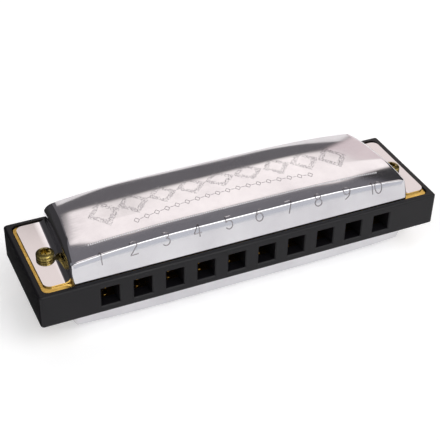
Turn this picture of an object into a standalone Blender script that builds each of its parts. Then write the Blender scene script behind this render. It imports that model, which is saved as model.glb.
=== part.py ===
"""Ten-hole harmonica: a moulded comb, two brass reed plates, twenty riveted reeds and two steel covers.

Lengths are in metres. +X runs from the low notes (hole 1) to the high notes (hole 10), the mouth
holes face -Y and +Z is up. The origin is under the middle of the comb, on the surface that the
lower cover rests on. Heights named *_RISE are measured from the comb's middle plane.
"""
import math

import bmesh
import bpy
from mathutils import Vector

HOLES = 10
HOLE_PITCH = 0.0075
ROW_SHIFT = 0.0004            # the hole row and the covers sit this far towards the high notes
FIT = 0.00005                 # clearance between pieces that are clamped or riveted together

COMB_LENGTH = 0.0981
COMB_DEPTH = 0.0278
COMB_HEIGHT = 0.0084
COMB_CORNER = 0.0008
COMB_CHAMFER = 0.00035
RIM_END = 0.00135
RIM_SIDE = 0.0012

MOUTH_WIDTH = 0.0042
MOUTH_HEIGHT = 0.0048
MOUTH_REACH = 0.0010          # how far the mouth cutters run on into the chambers
CHAMBER_WIDTH = 0.0044
CHAMBER_FRONT_Y = -0.0110
CHAMBER_SPARE = 0.0016        # chamber length beyond the tip of its reeds

PLATE_THICKNESS = 0.0009
PLATE_SINK = 0.00045          # the plates lie this far below the comb's rim
PLATE_EDGE_GAP = 0.0002
PLATE_CORNER = 0.0015

REED_THICKNESS = 0.00022
REED_WIDTH = 0.00205
REED_ROOT_Y = -0.0080
REED_LONGEST = 0.0155
REED_SHORTEST = 0.0085
PAD_WIDTH = 0.0029
PAD_LENGTH = 0.0026
SLOT_SIDE_GAP = 0.00012
SLOT_TIP_GAP = 0.0002

RIVET_Y = -0.0093
RIVET_RADIUS = 0.0005
RIVET_HEAD_RADIUS = 0.00095
RIVET_HEAD_FLAT = 0.0007       # radius of the flat on top of the head
RIVET_HEAD_HEIGHT = 0.0003
RIVET_TAIL_RADIUS = 0.0007
RIVET_TAIL_FLAT = 0.0005
RIVET_TAIL_HEIGHT = 0.00018

COVER_THICKNESS = 0.00035
SHEET_EDGE_RISE = 0.00015     # the leaning front's outer edge ends this far above its inner one
COVER_CROWN_RISE = 0.0111
COVER_FRONT_Y = -0.0123       # the leaning front meets the reed plate here
COVER_FOOT_Y = -0.0118        # and is this far forward where the side walls' fillets begin
COVER_BREAK_Y = -0.0102
COVER_ROLL_Y = 0.0113         # where the roof starts to roll down into its hem
COVER_BACK_Y = 0.0124
COVER_HALF_FRONT = 0.0414
COVER_HALF_BACK = 0.0402
COVER_CORNER = 0.0006
SHOULDER_BACK = 0.0029        # radius of the rounded side edge, which tightens towards the front
SHOULDER_FRONT = 0.0013
SIDE_SLOPE = math.radians(7)  # the roof's own slope where the side edge begins
BREAK_RADIUS = 0.0005         # radius of the bend from the roof into the leaning front
FRONT_SLOPE = math.radians(13)
FACE_SLOPE = math.radians(73)
FILLET_RADIUS = 0.0014
CROWN_FLAT_HALF = 0.0120      # the domed roof has a flat this far each side of its middle
CROWN_FLAT_FRONT_Y = -0.0020
CROWN_FLAT_BACK_Y = 0.0040
SIDE_FALL_FRONT = 0.0010      # how far the roof falls to its side edges, at the front and at the back
SIDE_FALL_BACK = 0.0015
SIDE_FALL_POWER = 2.4
FRONT_FALL = 0.00125
FRONT_FALL_POWER = 1.6
BACK_FALL = 0.00065
BACK_FALL_POWER = 2
HEM_RADIUS = 0.0010
HEM_LIP = 0.0003
HEM_START = math.radians(10)  # the roof's own slope where the hem begins
FLANGE_HALF = 0.0472
FLANGE_FRONT_Y = -0.0108
FLANGE_BACK_Y = 0.0120
FLANGE_CORNER = 0.0016

BOLT_OFFSET = 0.0440          # from the middle of the covers
BOLT_Y = -0.0007
BOLT_RADIUS = 0.0011
BOLT_CLEARANCE = 0.0001
BOLT_HEAD_RADIUS = 0.00205
BOLT_HEAD_HEIGHT = 0.0015
BOLT_HEAD_CROWN = 0.0015      # radius of the head's flat top
BOLT_HEAD_SIDE = 0.0009       # height of the head's upright side
BOLT_LOBES = 6
BOLT_LOBE_OUT = 0.00125
BOLT_LOBE_IN = 0.0009
BOLT_RECESS_DEPTH = 0.0009
NUT_ACROSS_FLATS = 0.0040
NUT_HEIGHT = 0.0012
BOLT_TIP = 0.0003             # the bolt's end shows this far past its nut

PLATE_SCREW_RADIUS = 0.0008
PLATE_SCREW_HEAD_RADIUS = 0.0015
PLATE_SCREW_HEAD_FLAT = 0.0012
PLATE_SCREW_HEAD_HEIGHT = 0.00045
PLATE_SCREW_FRONT_Y = -0.0093
PLATE_SCREW_BACK_Y = 0.0105
PLATE_SCREW_BACK_HALF = 0.0300
PLATE_SCREW_SLOT = 0.0005
PLATE_SCREW_SLOT_DEPTH = 0.00025

MID_Z = COVER_CROWN_RISE
RIM_RISE = COMB_HEIGHT / 2
PLATE_OUTER_RISE = RIM_RISE - PLATE_SINK
PLATE_INNER_RISE = PLATE_OUTER_RISE - PLATE_THICKNESS
WEB_RISE = PLATE_INNER_RISE - FIT
COVER_BASE_RISE = PLATE_OUTER_RISE + FIT
FLANGE_TOP_RISE = COVER_BASE_RISE + COVER_THICKNESS
RECESS_HALF = (COMB_LENGTH / 2 - RIM_END, COMB_DEPTH / 2 - RIM_SIDE)
PLATE_HALF = (RECESS_HALF[0] - PLATE_EDGE_GAP, RECESS_HALF[1] - PLATE_EDGE_GAP)

ROUND_SMALL = 10              # sides of a rivet
ROUND_MEDIUM = 16             # sides of a screw or bore
QUARTER_STEPS = 2             # facets in each half of a pressed corner
EDGE_STEPS = 3                # facets across a cover's rounded edges
ROW_BOW_POWER = 8             # how soon the roof's rows straighten behind the front corners
FRONT_SPANS = 12              # straight spans along a cover's front

QUARTER_TURN = math.pi / 2


def hole_x(number):
    """Middle of a mouth hole, counted from 1 at the low end."""
    return ROW_SHIFT + (number - (HOLES + 1) / 2) * HOLE_PITCH


def reed_length(number):
    share = (number - 1) / (HOLES - 1)
    return REED_LONGEST + (REED_SHORTEST - REED_LONGEST) * share


def plate_screw_places():
    """Three screws between chambers near the mouth, and two behind the shorter chambers' ends."""
    wall_2, wall_5, wall_8 = (hole_x(number) + HOLE_PITCH / 2 for number in (2, 5, 8))
    front = [(x, PLATE_SCREW_FRONT_Y) for x in (wall_2, wall_5, wall_8)]
    back = [(ROW_SHIFT + side * PLATE_SCREW_BACK_HALF, PLATE_SCREW_BACK_Y) for side in (-1, 1)]
    return front + back


def bolt_places():
    return [("left", ROW_SHIFT - BOLT_OFFSET, BOLT_Y), ("right", ROW_SHIFT + BOLT_OFFSET, BOLT_Y)]


# ---------------------------------------------------------------- materials

def material(name, colour, metallic, roughness):
    made = bpy.data.materials.new(name)
    made.use_nodes = True
    shader = made.node_tree.nodes["Principled BSDF"]
    shader.inputs["Base Color"].default_value = (*colour, 1.0)
    shader.inputs["Metallic"].default_value = metallic
    shader.inputs["Roughness"].default_value = roughness
    return made


# ---------------------------------------------------------------- outlines and basic bodies

def circle(x, y, radius, sides):
    angles = [2 * math.pi * step / sides for step in range(sides)]
    return [(x + radius * math.cos(a), y + radius * math.sin(a)) for a in angles]


def rectangle(x0, x1, y0, y1):
    return [(x0, y0), (x1, y0), (x1, y1), (x0, y1)]


def rounded_rectangle(half_x, half_y, radius, steps):
    """Counter-clockwise outline about the origin, each corner an arc of a few steps."""
    points = []
    for turn, (sign_x, sign_y) in enumerate(((1, 1), (-1, 1), (-1, -1), (1, -1))):
        centre = (sign_x * (half_x - radius), sign_y * (half_y - radius))
        for step in range(steps + 1):
            angle = QUARTER_TURN * (turn + step / steps)
            points.append((centre[0] + radius * math.cos(angle), centre[1] + radius * math.sin(angle)))
    return points


def slab(outlines, low, high):
    """A flat body between two heights: the first outline is its edge, the others are holes."""
    body = bmesh.new()
    edges = []
    for outline in outlines:
        ring = [body.verts.new((x, y, low)) for x, y in outline]
        edges += [body.edges.new((ring[i - 1], ring[i])) for i in range(len(ring))]
    bmesh.ops.triangle_fill(body, edges=edges, use_beauty=True, normal=(0, 0, -1))
    top = bmesh.ops.extrude_face_region(body, geom=body.faces[:])["geom"]
    corners = [item for item in top if isinstance(item, bmesh.types.BMVert)]
    bmesh.ops.translate(body, verts=corners, vec=(0, 0, high - low))
    bmesh.ops.recalc_face_normals(body, faces=body.faces[:])
    return body


def turned(profile, sides):
    """A body of revolution about Z from (radius, height) points that start and end on the axis."""
    body = bmesh.new()
    chain = [body.verts.new((radius, 0, height)) for radius, height in profile]
    edges = [body.edges.new(pair) for pair in zip(chain, chain[1:])]
    bmesh.ops.spin(body, geom=chain + edges, cent=(0, 0, 0), axis=(0, 0, 1),
                   angle=2 * math.pi, steps=sides, use_merge=True)
    bmesh.ops.remove_doubles(body, verts=body.verts[:], dist=FIT / 10)
    bmesh.ops.recalc_face_normals(body, faces=body.faces[:])
    return body


def merge_into(target, addition):
    """Adds one bmesh to another; the two stay separate bodies inside it."""
    carrier = bpy.data.meshes.new("carrier")
    addition.to_mesh(carrier)
    addition.free()
    target.from_mesh(carrier)
    bpy.data.meshes.remove(carrier)


def add(name, body, finish, place=(0, 0, 0), smooth=None):
    """Makes the object of a node; a smooth angle shades it round, with sharp edges kept."""
    mesh = bpy.data.meshes.new(name)
    body.to_mesh(mesh)
    body.free()
    mesh.materials.append(finish)
    if smooth:
        mesh.shade_smooth()
        mesh.set_sharp_from_angle(angle=smooth)
    return add_copy(name, mesh, place)


def add_copy(name, mesh, place):
    node = bpy.data.objects.new(name, mesh)
    node.location = place
    bpy.context.scene.collection.objects.link(node)
    return node


def cut(node, name, cutter_body, place=(0, 0, 0)):
    """Takes a hidden cutter's shape out of a node with a Boolean modifier."""
    mesh = bpy.data.meshes.new(name)
    cutter_body.to_mesh(mesh)
    cutter_body.free()
    cutter = add_copy(name, mesh, place)
    cutter.hide_render = True
    cutter.display_type = "WIRE"
    step = node.modifiers.new(name, "BOOLEAN")
    step.operation = "DIFFERENCE"
    step.solver = "EXACT"
    step.object = cutter


# ---------------------------------------------------------------- comb

def comb_block():
    """The comb's outside: a rounded block whose top and bottom edges are chamfered."""
    outline = rounded_rectangle(COMB_LENGTH / 2, COMB_DEPTH / 2, COMB_CORNER, 4)
    body = slab([outline], -RIM_RISE, RIM_RISE)
    flat = [edge for edge in body.edges
            if len({round(vert.co.z, 6) for vert in edge.verts}) == 1 and edge.calc_face_angle(0) > 1]
    bmesh.ops.bevel(body, geom=flat, offset=COMB_CHAMFER, segments=1, affect="EDGES")
    return body


def comb_recesses():
    """The two shallow beds, above and below, that the reed plates drop into."""
    outline = rounded_rectangle(*RECESS_HALF, PLATE_CORNER, 3)
    beds = slab([outline], WEB_RISE, COMB_HEIGHT)
    merge_into(beds, slab([outline], -COMB_HEIGHT, -WEB_RISE))
    return beds


def comb_chambers():
    """Ten air chambers, open to both plates, each as long as its reeds need."""
    chambers = bmesh.new()
    for number in range(1, HOLES + 1):
        x = hole_x(number)
        back = REED_ROOT_Y + reed_length(number) + CHAMBER_SPARE
        outline = rectangle(x - CHAMBER_WIDTH / 2, x + CHAMBER_WIDTH / 2, CHAMBER_FRONT_Y, back)
        merge_into(chambers, slab([outline], -RIM_RISE, RIM_RISE))
    return chambers


def comb_mouths():
    """Ten mouth holes, from the front face into the chambers."""
    mouths = bmesh.new()
    for number in range(1, HOLES + 1):
        x = hole_x(number)
        outline = rectangle(x - MOUTH_WIDTH / 2, x + MOUTH_WIDTH / 2,
                            -COMB_DEPTH, CHAMBER_FRONT_Y + MOUTH_REACH)
        merge_into(mouths, slab([outline], -MOUTH_HEIGHT / 2, MOUTH_HEIGHT / 2))
    return mouths


def comb_bores():
    """Clearance bores for the two cover bolts and the five plate screws."""
    bores = bmesh.new()
    round_bores = [(x, y, BOLT_RADIUS) for _, x, y in bolt_places()]
    round_bores += [(x, y, PLATE_SCREW_RADIUS) for x, y in plate_screw_places()]
    for x, y, radius in round_bores:
        outline = circle(x, y, radius + BOLT_CLEARANCE, ROUND_MEDIUM)
        merge_into(bores, slab([outline], -COMB_HEIGHT, COMB_HEIGHT))
    return bores


def make_comb(finish):
    comb = add("comb", comb_block(), finish, (0, 0, MID_Z))
    cut(comb, "comb_recess_cutter", comb_recesses(), (0, 0, MID_Z))
    cut(comb, "comb_chamber_cutter", comb_chambers(), (0, 0, MID_Z))
    cut(comb, "comb_mouth_cutter", comb_mouths(), (0, 0, MID_Z))
    cut(comb, "comb_bore_cutter", comb_bores(), (0, 0, MID_Z))


# ---------------------------------------------------------------- reed plates, reeds and rivets

def reed_plate_body():
    """A brass plate with a slot and a rivet hole for each reed, and its screw holes."""
    outlines = [rounded_rectangle(*PLATE_HALF, PLATE_CORNER, 3)]
    slot_half = REED_WIDTH / 2 + SLOT_SIDE_GAP
    for number in range(1, HOLES + 1):
        x = hole_x(number)
        tip = REED_ROOT_Y + reed_length(number) + SLOT_TIP_GAP
        outlines.append(rectangle(x - slot_half, x + slot_half, REED_ROOT_Y, tip))
        outlines.append(circle(x, RIVET_Y, RIVET_RADIUS + FIT, ROUND_SMALL))
    for x, y in plate_screw_places():
        outlines.append(circle(x, y, PLATE_SCREW_RADIUS + FIT, ROUND_MEDIUM))
    for _, x, y in bolt_places():
        outlines.append(circle(x, y, BOLT_RADIUS + BOLT_CLEARANCE, ROUND_MEDIUM))
    return slab(outlines, -PLATE_THICKNESS / 2, PLATE_THICKNESS / 2)


def make_reed_plates(finish):
    rise = PLATE_OUTER_RISE - PLATE_THICKNESS / 2
    upper = add("blow_reed_plate", reed_plate_body(), finish, (0, 0, MID_Z + rise))
    add_copy("draw_reed_plate", upper.data, (0, 0, MID_Z - rise))


def reed_body(length):
    """A reed about its root: the riveted pad towards -Y, and the free tongue towards +Y."""
    half_pad = PAD_WIDTH / 2
    half = REED_WIDTH / 2
    outline = [(-half_pad, -PAD_LENGTH), (half_pad, -PAD_LENGTH), (half_pad, 0), (half, half),
               (half, length), (-half, length), (-half, half), (-half_pad, 0)]
    hole = circle(0, RIVET_Y - REED_ROOT_Y, RIVET_RADIUS + FIT, ROUND_SMALL)
    return slab([outline, hole], -REED_THICKNESS / 2, REED_THICKNESS / 2)


def rivet_body():
    """A rivet about the underside of its plate: a domed head below, its closed tail above."""
    under = -FIT * 2 - REED_THICKNESS
    over = PLATE_THICKNESS + FIT
    profile = [(0, over + RIVET_TAIL_HEIGHT), (RIVET_TAIL_FLAT, over + RIVET_TAIL_HEIGHT),
               (RIVET_TAIL_RADIUS, over), (RIVET_RADIUS, over), (RIVET_RADIUS, under),
               (RIVET_HEAD_RADIUS, under), (RIVET_HEAD_FLAT, under - RIVET_HEAD_HEIGHT),
               (0, under - RIVET_HEAD_HEIGHT)]
    return turned(profile, ROUND_SMALL)


def make_reeds(reed_finish, rivet_finish):
    """Blow reeds hang under the upper plate, inside the chambers; draw reeds under the lower plate."""
    undersides = {"blow": MID_Z + PLATE_INNER_RISE, "draw": MID_Z - PLATE_OUTER_RISE}
    rivet_mesh = None
    for number in range(1, HOLES + 1):
        reed_mesh = None
        for breath, under in undersides.items():
            name = f"{breath}_reed_{number:02d}"
            place = (hole_x(number), REED_ROOT_Y, under - FIT - REED_THICKNESS / 2)
            if reed_mesh is None:
                reed_mesh = add(name, reed_body(reed_length(number)), reed_finish, place).data
            else:
                add_copy(name, reed_mesh, place)
            name = f"{breath}_rivet_{number:02d}"
            place = (hole_x(number), RIVET_Y, under)
            if rivet_mesh is None:
                rivet_mesh = add(name, rivet_body(), rivet_finish, place, smooth=math.radians(40)).data
            else:
                add_copy(name, rivet_mesh, place)


# ---------------------------------------------------------------- covers

def roof_rise(x, y):
    """Height of a cover's roof above the comb's middle plane, x measured from the cover's middle."""
    depth_share = (y - COVER_BREAK_Y) / (COVER_ROLL_Y - COVER_BREAK_Y)
    side_fall = SIDE_FALL_FRONT + (SIDE_FALL_BACK - SIDE_FALL_FRONT) * depth_share
    reach = COVER_HALF_BACK - SHOULDER_FRONT - CROWN_FLAT_HALF
    side_share = max(0.0, abs(x) - CROWN_FLAT_HALF) / reach
    front_share = max(0.0, CROWN_FLAT_FRONT_Y - y) / (CROWN_FLAT_FRONT_Y - COVER_BREAK_Y)
    back_share = max(0.0, y - CROWN_FLAT_BACK_Y) / (COVER_ROLL_Y - CROWN_FLAT_BACK_Y)
    fall = side_fall * side_share ** SIDE_FALL_POWER
    fall += FRONT_FALL * front_share ** FRONT_FALL_POWER + BACK_FALL * back_share ** BACK_FALL_POWER
    return COVER_CROWN_RISE - fall


def wall_half(share):
    """Half the distance between a cover's side walls, by the share of the way from back to front."""
    return COVER_HALF_BACK + (COVER_HALF_FRONT - COVER_HALF_BACK) * share


def side_rows():
    """Depths of the rows down a cover's side, from the back, spaced for the flange's round corners."""
    corner = [FLANGE_CORNER * (1 - math.cos(QUARTER_TURN * step / 2)) for step in range(3)]
    back = [FLANGE_BACK_Y - inset for inset in corner]
    front = [FLANGE_FRONT_Y + inset for inset in reversed(corner)]
    gap = (back[-1] - front[0]) / 3
    middle = [back[-1] - gap, back[-1] - 2 * gap]
    return [COVER_BACK_Y] + back + middle + front


def side_shares():
    """The same rows as shares of the way from the back to where the front corner's arc begins."""
    front = COVER_FOOT_Y + COVER_CORNER
    return [(COVER_BACK_Y - y) / (COVER_BACK_Y - front) for y in side_rows()]


def half_ring(level):
    """Left half of one ring round the roof, as points and drops, from the back to the front's middle.

    The first rings turn through the rounded edges, from the roof's own slope, and the last one is
    the foot of the walls.
    """
    turn = min(level / EDGE_STEPS, 1)
    side_angle = SIDE_SLOPE + (QUARTER_TURN - SIDE_SLOPE) * turn
    face_angle = FRONT_SLOPE + (FACE_SLOPE - FRONT_SLOPE) * turn
    edge_y = COVER_BREAK_Y - BREAK_RADIUS * (math.sin(face_angle) - math.sin(FRONT_SLOPE))
    if level > EDGE_STEPS:
        edge_y = COVER_FOOT_Y
    arc_y = edge_y + COVER_CORNER
    back_y = COVER_ROLL_Y + (COVER_BACK_Y - COVER_ROLL_Y) * turn
    points = []
    for share in side_shares() + [1]:
        radius = SHOULDER_BACK + (SHOULDER_FRONT - SHOULDER_BACK) * share
        half = wall_half(share) - radius * (1 - math.sin(side_angle))
        drop = radius * (math.cos(SIDE_SLOPE) - math.cos(side_angle))
        points.append((-half, back_y + (arc_y - back_y) * share, drop))
    points.pop()
    front_drop = BREAK_RADIUS * (math.cos(FRONT_SLOPE) - math.cos(face_angle))
    for step in range(2 * QUARTER_STEPS + 1):
        share = step / (2 * QUARTER_STEPS)
        angle = QUARTER_TURN * share
        x = -(half - COVER_CORNER) - COVER_CORNER * math.cos(angle)
        points.append((x, arc_y - COVER_CORNER * math.sin(angle), drop + (front_drop - drop) * share))
    flat_half = half - COVER_CORNER
    for span in range(1, FRONT_SPANS // 2 + 1):
        points.append((-flat_half * (1 - 2 * span / FRONT_SPANS), edge_y, front_drop))
    return points


def full_ring(level):
    left = half_ring(level)
    return left + [(-x, y, drop) for x, y, drop in reversed(left[:-1])]


def lattice(body, rows):
    """Skins a table of points with quads and returns its vertices in the same table."""
    table = [[point if isinstance(point, bmesh.types.BMVert) else body.verts.new(point) for point in row]
             for row in rows]
    for upper, lower in zip(table, table[1:]):
        for i in range(len(upper) - 1):
            body.faces.new((upper[i], lower[i], lower[i + 1], upper[i + 1]))
    return table


def roof_rows(edge, sides_count):
    """Points of the roof inside its U-shaped edge, each row blended from the edge's own points."""
    front = edge[sides_count:len(edge) - sides_count]
    columns = len(front) - 1
    rows = []
    for j in range(sides_count, -1, -1):
        left, right = edge[j], edge[len(edge) - 1 - j]
        share_back = 1 - j / sides_count
        row = [left]
        for i in range(1, columns):
            across = (front[i].co.x - front[0].co.x) / (front[-1].co.x - front[0].co.x)
            x = left.co.x + (right.co.x - left.co.x) * across
            bow = (front[i].co.y - front[0].co.y) * (1 - share_back) ** ROW_BOW_POWER
            y = left.co.y + bow
            row.append(front[i] if j == sides_count else (x, y, roof_rise(x, y)))
        row.append(right)
        rows.append(row)
    return rows


def cover_skin():
    """The outer face of a cover: roof, rolled hem, leaning front, side walls, fillets and end flanges."""
    body = bmesh.new()
    tops = [roof_rise(x, y) for x, y, _ in full_ring(0)]
    rings = [[(x, y, top - drop) for (x, y, drop), top in zip(full_ring(level), tops)]
             for level in range(EDGE_STEPS + 1)]
    rings.append([(x, y, FLANGE_TOP_RISE + FILLET_RADIUS) for x, y, _ in full_ring(EDGE_STEPS + 1)])
    walls = lattice(body, rings)
    straight = len(side_rows())
    sides_count = straight + QUARTER_STEPS
    roof = lattice(body, roof_rows(walls[0], sides_count))
    add_hem(body, roof[-1])
    add_front_foot(body, walls[-1][straight:len(walls[-1]) - straight])
    for first, last, sign in ((1, straight, -1), (len(walls[-1]) - straight, len(walls[-1]) - 1, 1)):
        add_flange(body, walls[-1][first:last], sign)
    bmesh.ops.recalc_face_normals(body, faces=body.faces[:])
    return body


def add_hem(body, back_edge):
    """Rolls the roof's back edge down into a short lip."""
    rows = [back_edge]
    for share in (1 / 3, 2 / 3, 1):
        angle = HEM_START + (QUARTER_TURN - HEM_START) * share
        out = HEM_RADIUS * (math.sin(angle) - math.sin(HEM_START))
        down = HEM_RADIUS * (math.cos(HEM_START) - math.cos(angle))
        rows.append([vert.co + Vector((0, out, -down)) for vert in back_edge])
    rows.append([point - Vector((0, 0, HEM_LIP)) for point in rows[-1]])
    lattice(body, rows)


def add_front_foot(body, lowest):
    """Carries the front face straight on, down to the reed plate."""
    foot = []
    for vert in lowest:
        share = min((COVER_FOOT_Y + COVER_CORNER - vert.co.y) / COVER_CORNER, 1)
        forward = (COVER_FRONT_Y - COVER_FOOT_Y) * share
        foot.append(Vector((vert.co.x, vert.co.y + forward, COVER_BASE_RISE + SHEET_EDGE_RISE)))
    lattice(body, [lowest, foot])


def add_flange(body, wall_foot, sign):
    """Turns the side wall out through a fillet into the flat flange that the bolt clamps."""
    rows = [wall_foot]
    for share in (1 / 3, 2 / 3, 1):
        angle = QUARTER_TURN * share
        out = FILLET_RADIUS * (1 - math.cos(angle))
        down = FILLET_RADIUS * math.sin(angle)
        rows.append([vert.co + Vector((sign * out, 0, -down)) for vert in wall_foot])
    outer = []
    for vert in wall_foot:
        from_end = min(FLANGE_BACK_Y - vert.co.y, vert.co.y - FLANGE_FRONT_Y, FLANGE_CORNER)
        from_end = max(from_end, 0.0)
        inset = FLANGE_CORNER - math.sqrt(FLANGE_CORNER ** 2 - (FLANGE_CORNER - from_end) ** 2)
        outer.append(Vector((sign * (FLANGE_HALF - inset), vert.co.y, FLANGE_TOP_RISE)))
    rows.append(outer)
    lattice(body, rows)


def make_covers(finish):
    """The same pressing twice: the lower cover is the upper one turned over about Y."""
    place = (ROW_SHIFT, 0, MID_Z)
    upper = add("upper_cover", cover_skin(), finish, place, smooth=math.radians(35))
    lower = add_copy("lower_cover", upper.data, place)
    lower.rotation_euler = (0, math.pi, 0)
    for cover in (upper, lower):
        sheet = cover.modifiers.new("sheet", "SOLIDIFY")
        sheet.thickness = COVER_THICKNESS
        sheet.offset = -1
        sheet.use_even_offset = True
        sheet.thickness_clamp = 0
        bores = bmesh.new()
        for _, x, y in bolt_places():
            outline = circle(x, y, BOLT_RADIUS + BOLT_CLEARANCE, ROUND_MEDIUM)
            merge_into(bores, slab([outline], -COVER_CROWN_RISE * 2, COVER_CROWN_RISE * 2))
        cut(cover, cover.name + "_bolt_cutter", bores, (0, 0, MID_Z))


# ---------------------------------------------------------------- fasteners

def bolt_body():
    """A cover bolt about the comb's middle plane: pan head above, shank down through its nut."""
    seat = FLANGE_TOP_RISE + FIT
    top = seat + BOLT_HEAD_HEIGHT
    tip = -(FLANGE_TOP_RISE + 2 * FIT + NUT_HEIGHT + BOLT_TIP)
    profile = [(0, top), (BOLT_HEAD_CROWN, top), (BOLT_HEAD_RADIUS, seat + BOLT_HEAD_SIDE),
               (BOLT_HEAD_RADIUS, seat), (BOLT_RADIUS, seat), (BOLT_RADIUS, tip + BOLT_TIP),
               (BOLT_RADIUS - BOLT_TIP, tip), (0, tip)]
    return turned(profile, ROUND_MEDIUM)


def lobed_body(low, high):
    """The punch of the bolt's recess: a star of rounded lobes between two heights."""
    middle = (BOLT_LOBE_OUT + BOLT_LOBE_IN) / 2
    swing = (BOLT_LOBE_OUT - BOLT_LOBE_IN) / 2
    outline = []
    for step in range(4 * BOLT_LOBES):
        angle = 2 * math.pi * step / (4 * BOLT_LOBES)
        radius = middle + swing * math.cos(BOLT_LOBES * angle)
        outline.append((radius * math.cos(angle), radius * math.sin(angle)))
    return slab([outline], low, high)


def make_cover_bolts(screw_finish, nut_finish):
    head_top = FLANGE_TOP_RISE + FIT + BOLT_HEAD_HEIGHT
    nut_high = -(FLANGE_TOP_RISE + FIT)
    corners = circle(0, 0, NUT_ACROSS_FLATS / 2 / math.cos(math.pi / 6), 6)
    nut_outline = [(y, x) for x, y in corners]
    nut_bore = circle(0, 0, BOLT_RADIUS + FIT, ROUND_MEDIUM)
    for side, x, y in bolt_places():
        place = (x, y, MID_Z)
        screw = add("cover_screw_" + side, bolt_body(), screw_finish, place, smooth=math.radians(40))
        recess = lobed_body(head_top - BOLT_RECESS_DEPTH, head_top + BOLT_HEAD_HEIGHT)
        cut(screw, "cover_screw_recess_" + side, recess, place)
        nut = slab([nut_outline, nut_bore], nut_high - NUT_HEIGHT, nut_high)
        add("cover_nut_" + side, nut, nut_finish, place)


def make_plate_screws(finish):
    """Screws that clamp both plates to the comb, with their heads on the upper plate."""
    seat = PLATE_OUTER_RISE + FIT
    top = seat + PLATE_SCREW_HEAD_HEIGHT
    profile = [(0, top), (PLATE_SCREW_HEAD_FLAT, top),
               (PLATE_SCREW_HEAD_RADIUS, top - PLATE_SCREW_HEAD_HEIGHT / 2),
               (PLATE_SCREW_HEAD_RADIUS, seat), (PLATE_SCREW_RADIUS, seat),
               (PLATE_SCREW_RADIUS, -PLATE_OUTER_RISE), (0, -PLATE_OUTER_RISE)]
    for number, (x, y) in enumerate(plate_screw_places(), start=1):
        place = (x, y, MID_Z)
        name = f"plate_screw_{number}"
        screw = add(name, turned(profile, ROUND_MEDIUM), finish, place, smooth=math.radians(40))
        slot = slab([rectangle(-PLATE_SCREW_HEAD_RADIUS * 2, PLATE_SCREW_HEAD_RADIUS * 2,
                               -PLATE_SCREW_SLOT / 2, PLATE_SCREW_SLOT / 2)],
                    top - PLATE_SCREW_SLOT_DEPTH, top * 2)
        cut(screw, name + "_slot_cutter", slot, place)


# ---------------------------------------------------------------- the harmonica

def main():
    for leftover in list(bpy.data.objects):
        bpy.data.objects.remove(leftover)
    black_plastic = material("black_abs", (0.022, 0.021, 0.023), 0.0, 0.42)
    plate_brass = material("plate_brass", (0.72, 0.47, 0.15), 1.0, 0.28)
    reed_brass = material("reed_brass", (0.78, 0.56, 0.24), 1.0, 0.22)
    rivet_brass = material("rivet_brass", (0.70, 0.48, 0.18), 1.0, 0.30)
    polished_steel = material("polished_steel", (0.80, 0.78, 0.78), 1.0, 0.07)
    aged_brass = material("aged_brass", (0.30, 0.24, 0.09), 1.0, 0.30)
    make_comb(black_plastic)
    make_reed_plates(plate_brass)
    make_reeds(reed_brass, rivet_brass)
    make_covers(polished_steel)
    make_cover_bolts(aged_brass, aged_brass)
    make_plate_screws(aged_brass)


main()
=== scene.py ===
# %% [markdown]
# # A ten-hole harmonica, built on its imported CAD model
# A harmonica is a sandwich: a black moulded comb in the middle, a brass reed plate on each side of it,
# and a polished steel cover over each plate. The CAD model gives every piece its place, size and
# collision. This lesson loads it as a fixed frame and gives each piece the shape and finish of the real
# one: rounded edges, pressed sheet, stamped numbers, brushed brass and a studio to reflect.

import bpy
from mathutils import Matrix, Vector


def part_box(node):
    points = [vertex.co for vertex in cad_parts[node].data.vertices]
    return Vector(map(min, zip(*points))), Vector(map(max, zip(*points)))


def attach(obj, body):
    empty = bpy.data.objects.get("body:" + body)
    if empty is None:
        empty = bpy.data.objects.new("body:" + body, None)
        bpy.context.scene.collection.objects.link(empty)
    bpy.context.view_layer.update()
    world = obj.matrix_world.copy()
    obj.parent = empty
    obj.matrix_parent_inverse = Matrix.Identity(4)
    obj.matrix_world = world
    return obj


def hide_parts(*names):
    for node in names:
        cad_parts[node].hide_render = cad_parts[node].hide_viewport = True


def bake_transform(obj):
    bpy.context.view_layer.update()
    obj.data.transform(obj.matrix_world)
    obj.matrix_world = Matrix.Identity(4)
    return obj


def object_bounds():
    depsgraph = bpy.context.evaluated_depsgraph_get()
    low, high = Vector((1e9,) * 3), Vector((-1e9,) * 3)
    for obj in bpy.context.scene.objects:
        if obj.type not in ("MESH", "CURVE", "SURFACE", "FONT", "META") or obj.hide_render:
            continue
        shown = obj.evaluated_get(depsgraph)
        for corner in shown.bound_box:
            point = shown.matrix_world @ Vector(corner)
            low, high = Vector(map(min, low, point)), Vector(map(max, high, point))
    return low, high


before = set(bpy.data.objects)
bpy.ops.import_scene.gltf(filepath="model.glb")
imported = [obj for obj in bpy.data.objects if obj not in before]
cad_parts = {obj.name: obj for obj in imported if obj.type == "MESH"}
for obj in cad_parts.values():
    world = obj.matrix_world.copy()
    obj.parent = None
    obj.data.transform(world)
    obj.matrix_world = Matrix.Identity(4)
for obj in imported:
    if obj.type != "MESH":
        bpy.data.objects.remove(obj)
cad_low, cad_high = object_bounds()
print("CAD box", [round(v * 1000, 2) for v in (*cad_low, *cad_high)], "mm")

# %% [markdown]
# ## Units and measured places
# Blender's unit is the metre, but a harmonica is thought of in millimetres, so lengths are written as a
# number times MM. Heights on this instrument are easiest from the comb's middle plane, because
# everything above it is mirrored below. That plane and the hole row are read from the CAD nodes.

# %% Places read from the frame
import math
import random

import bmesh
import bpy
from mathutils import Matrix, Vector

MM = 0.001
HOLES = 10
QUARTER = math.pi / 2
BODY = "harp"                       # the fixed body that everything but the reeds belongs to

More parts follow.
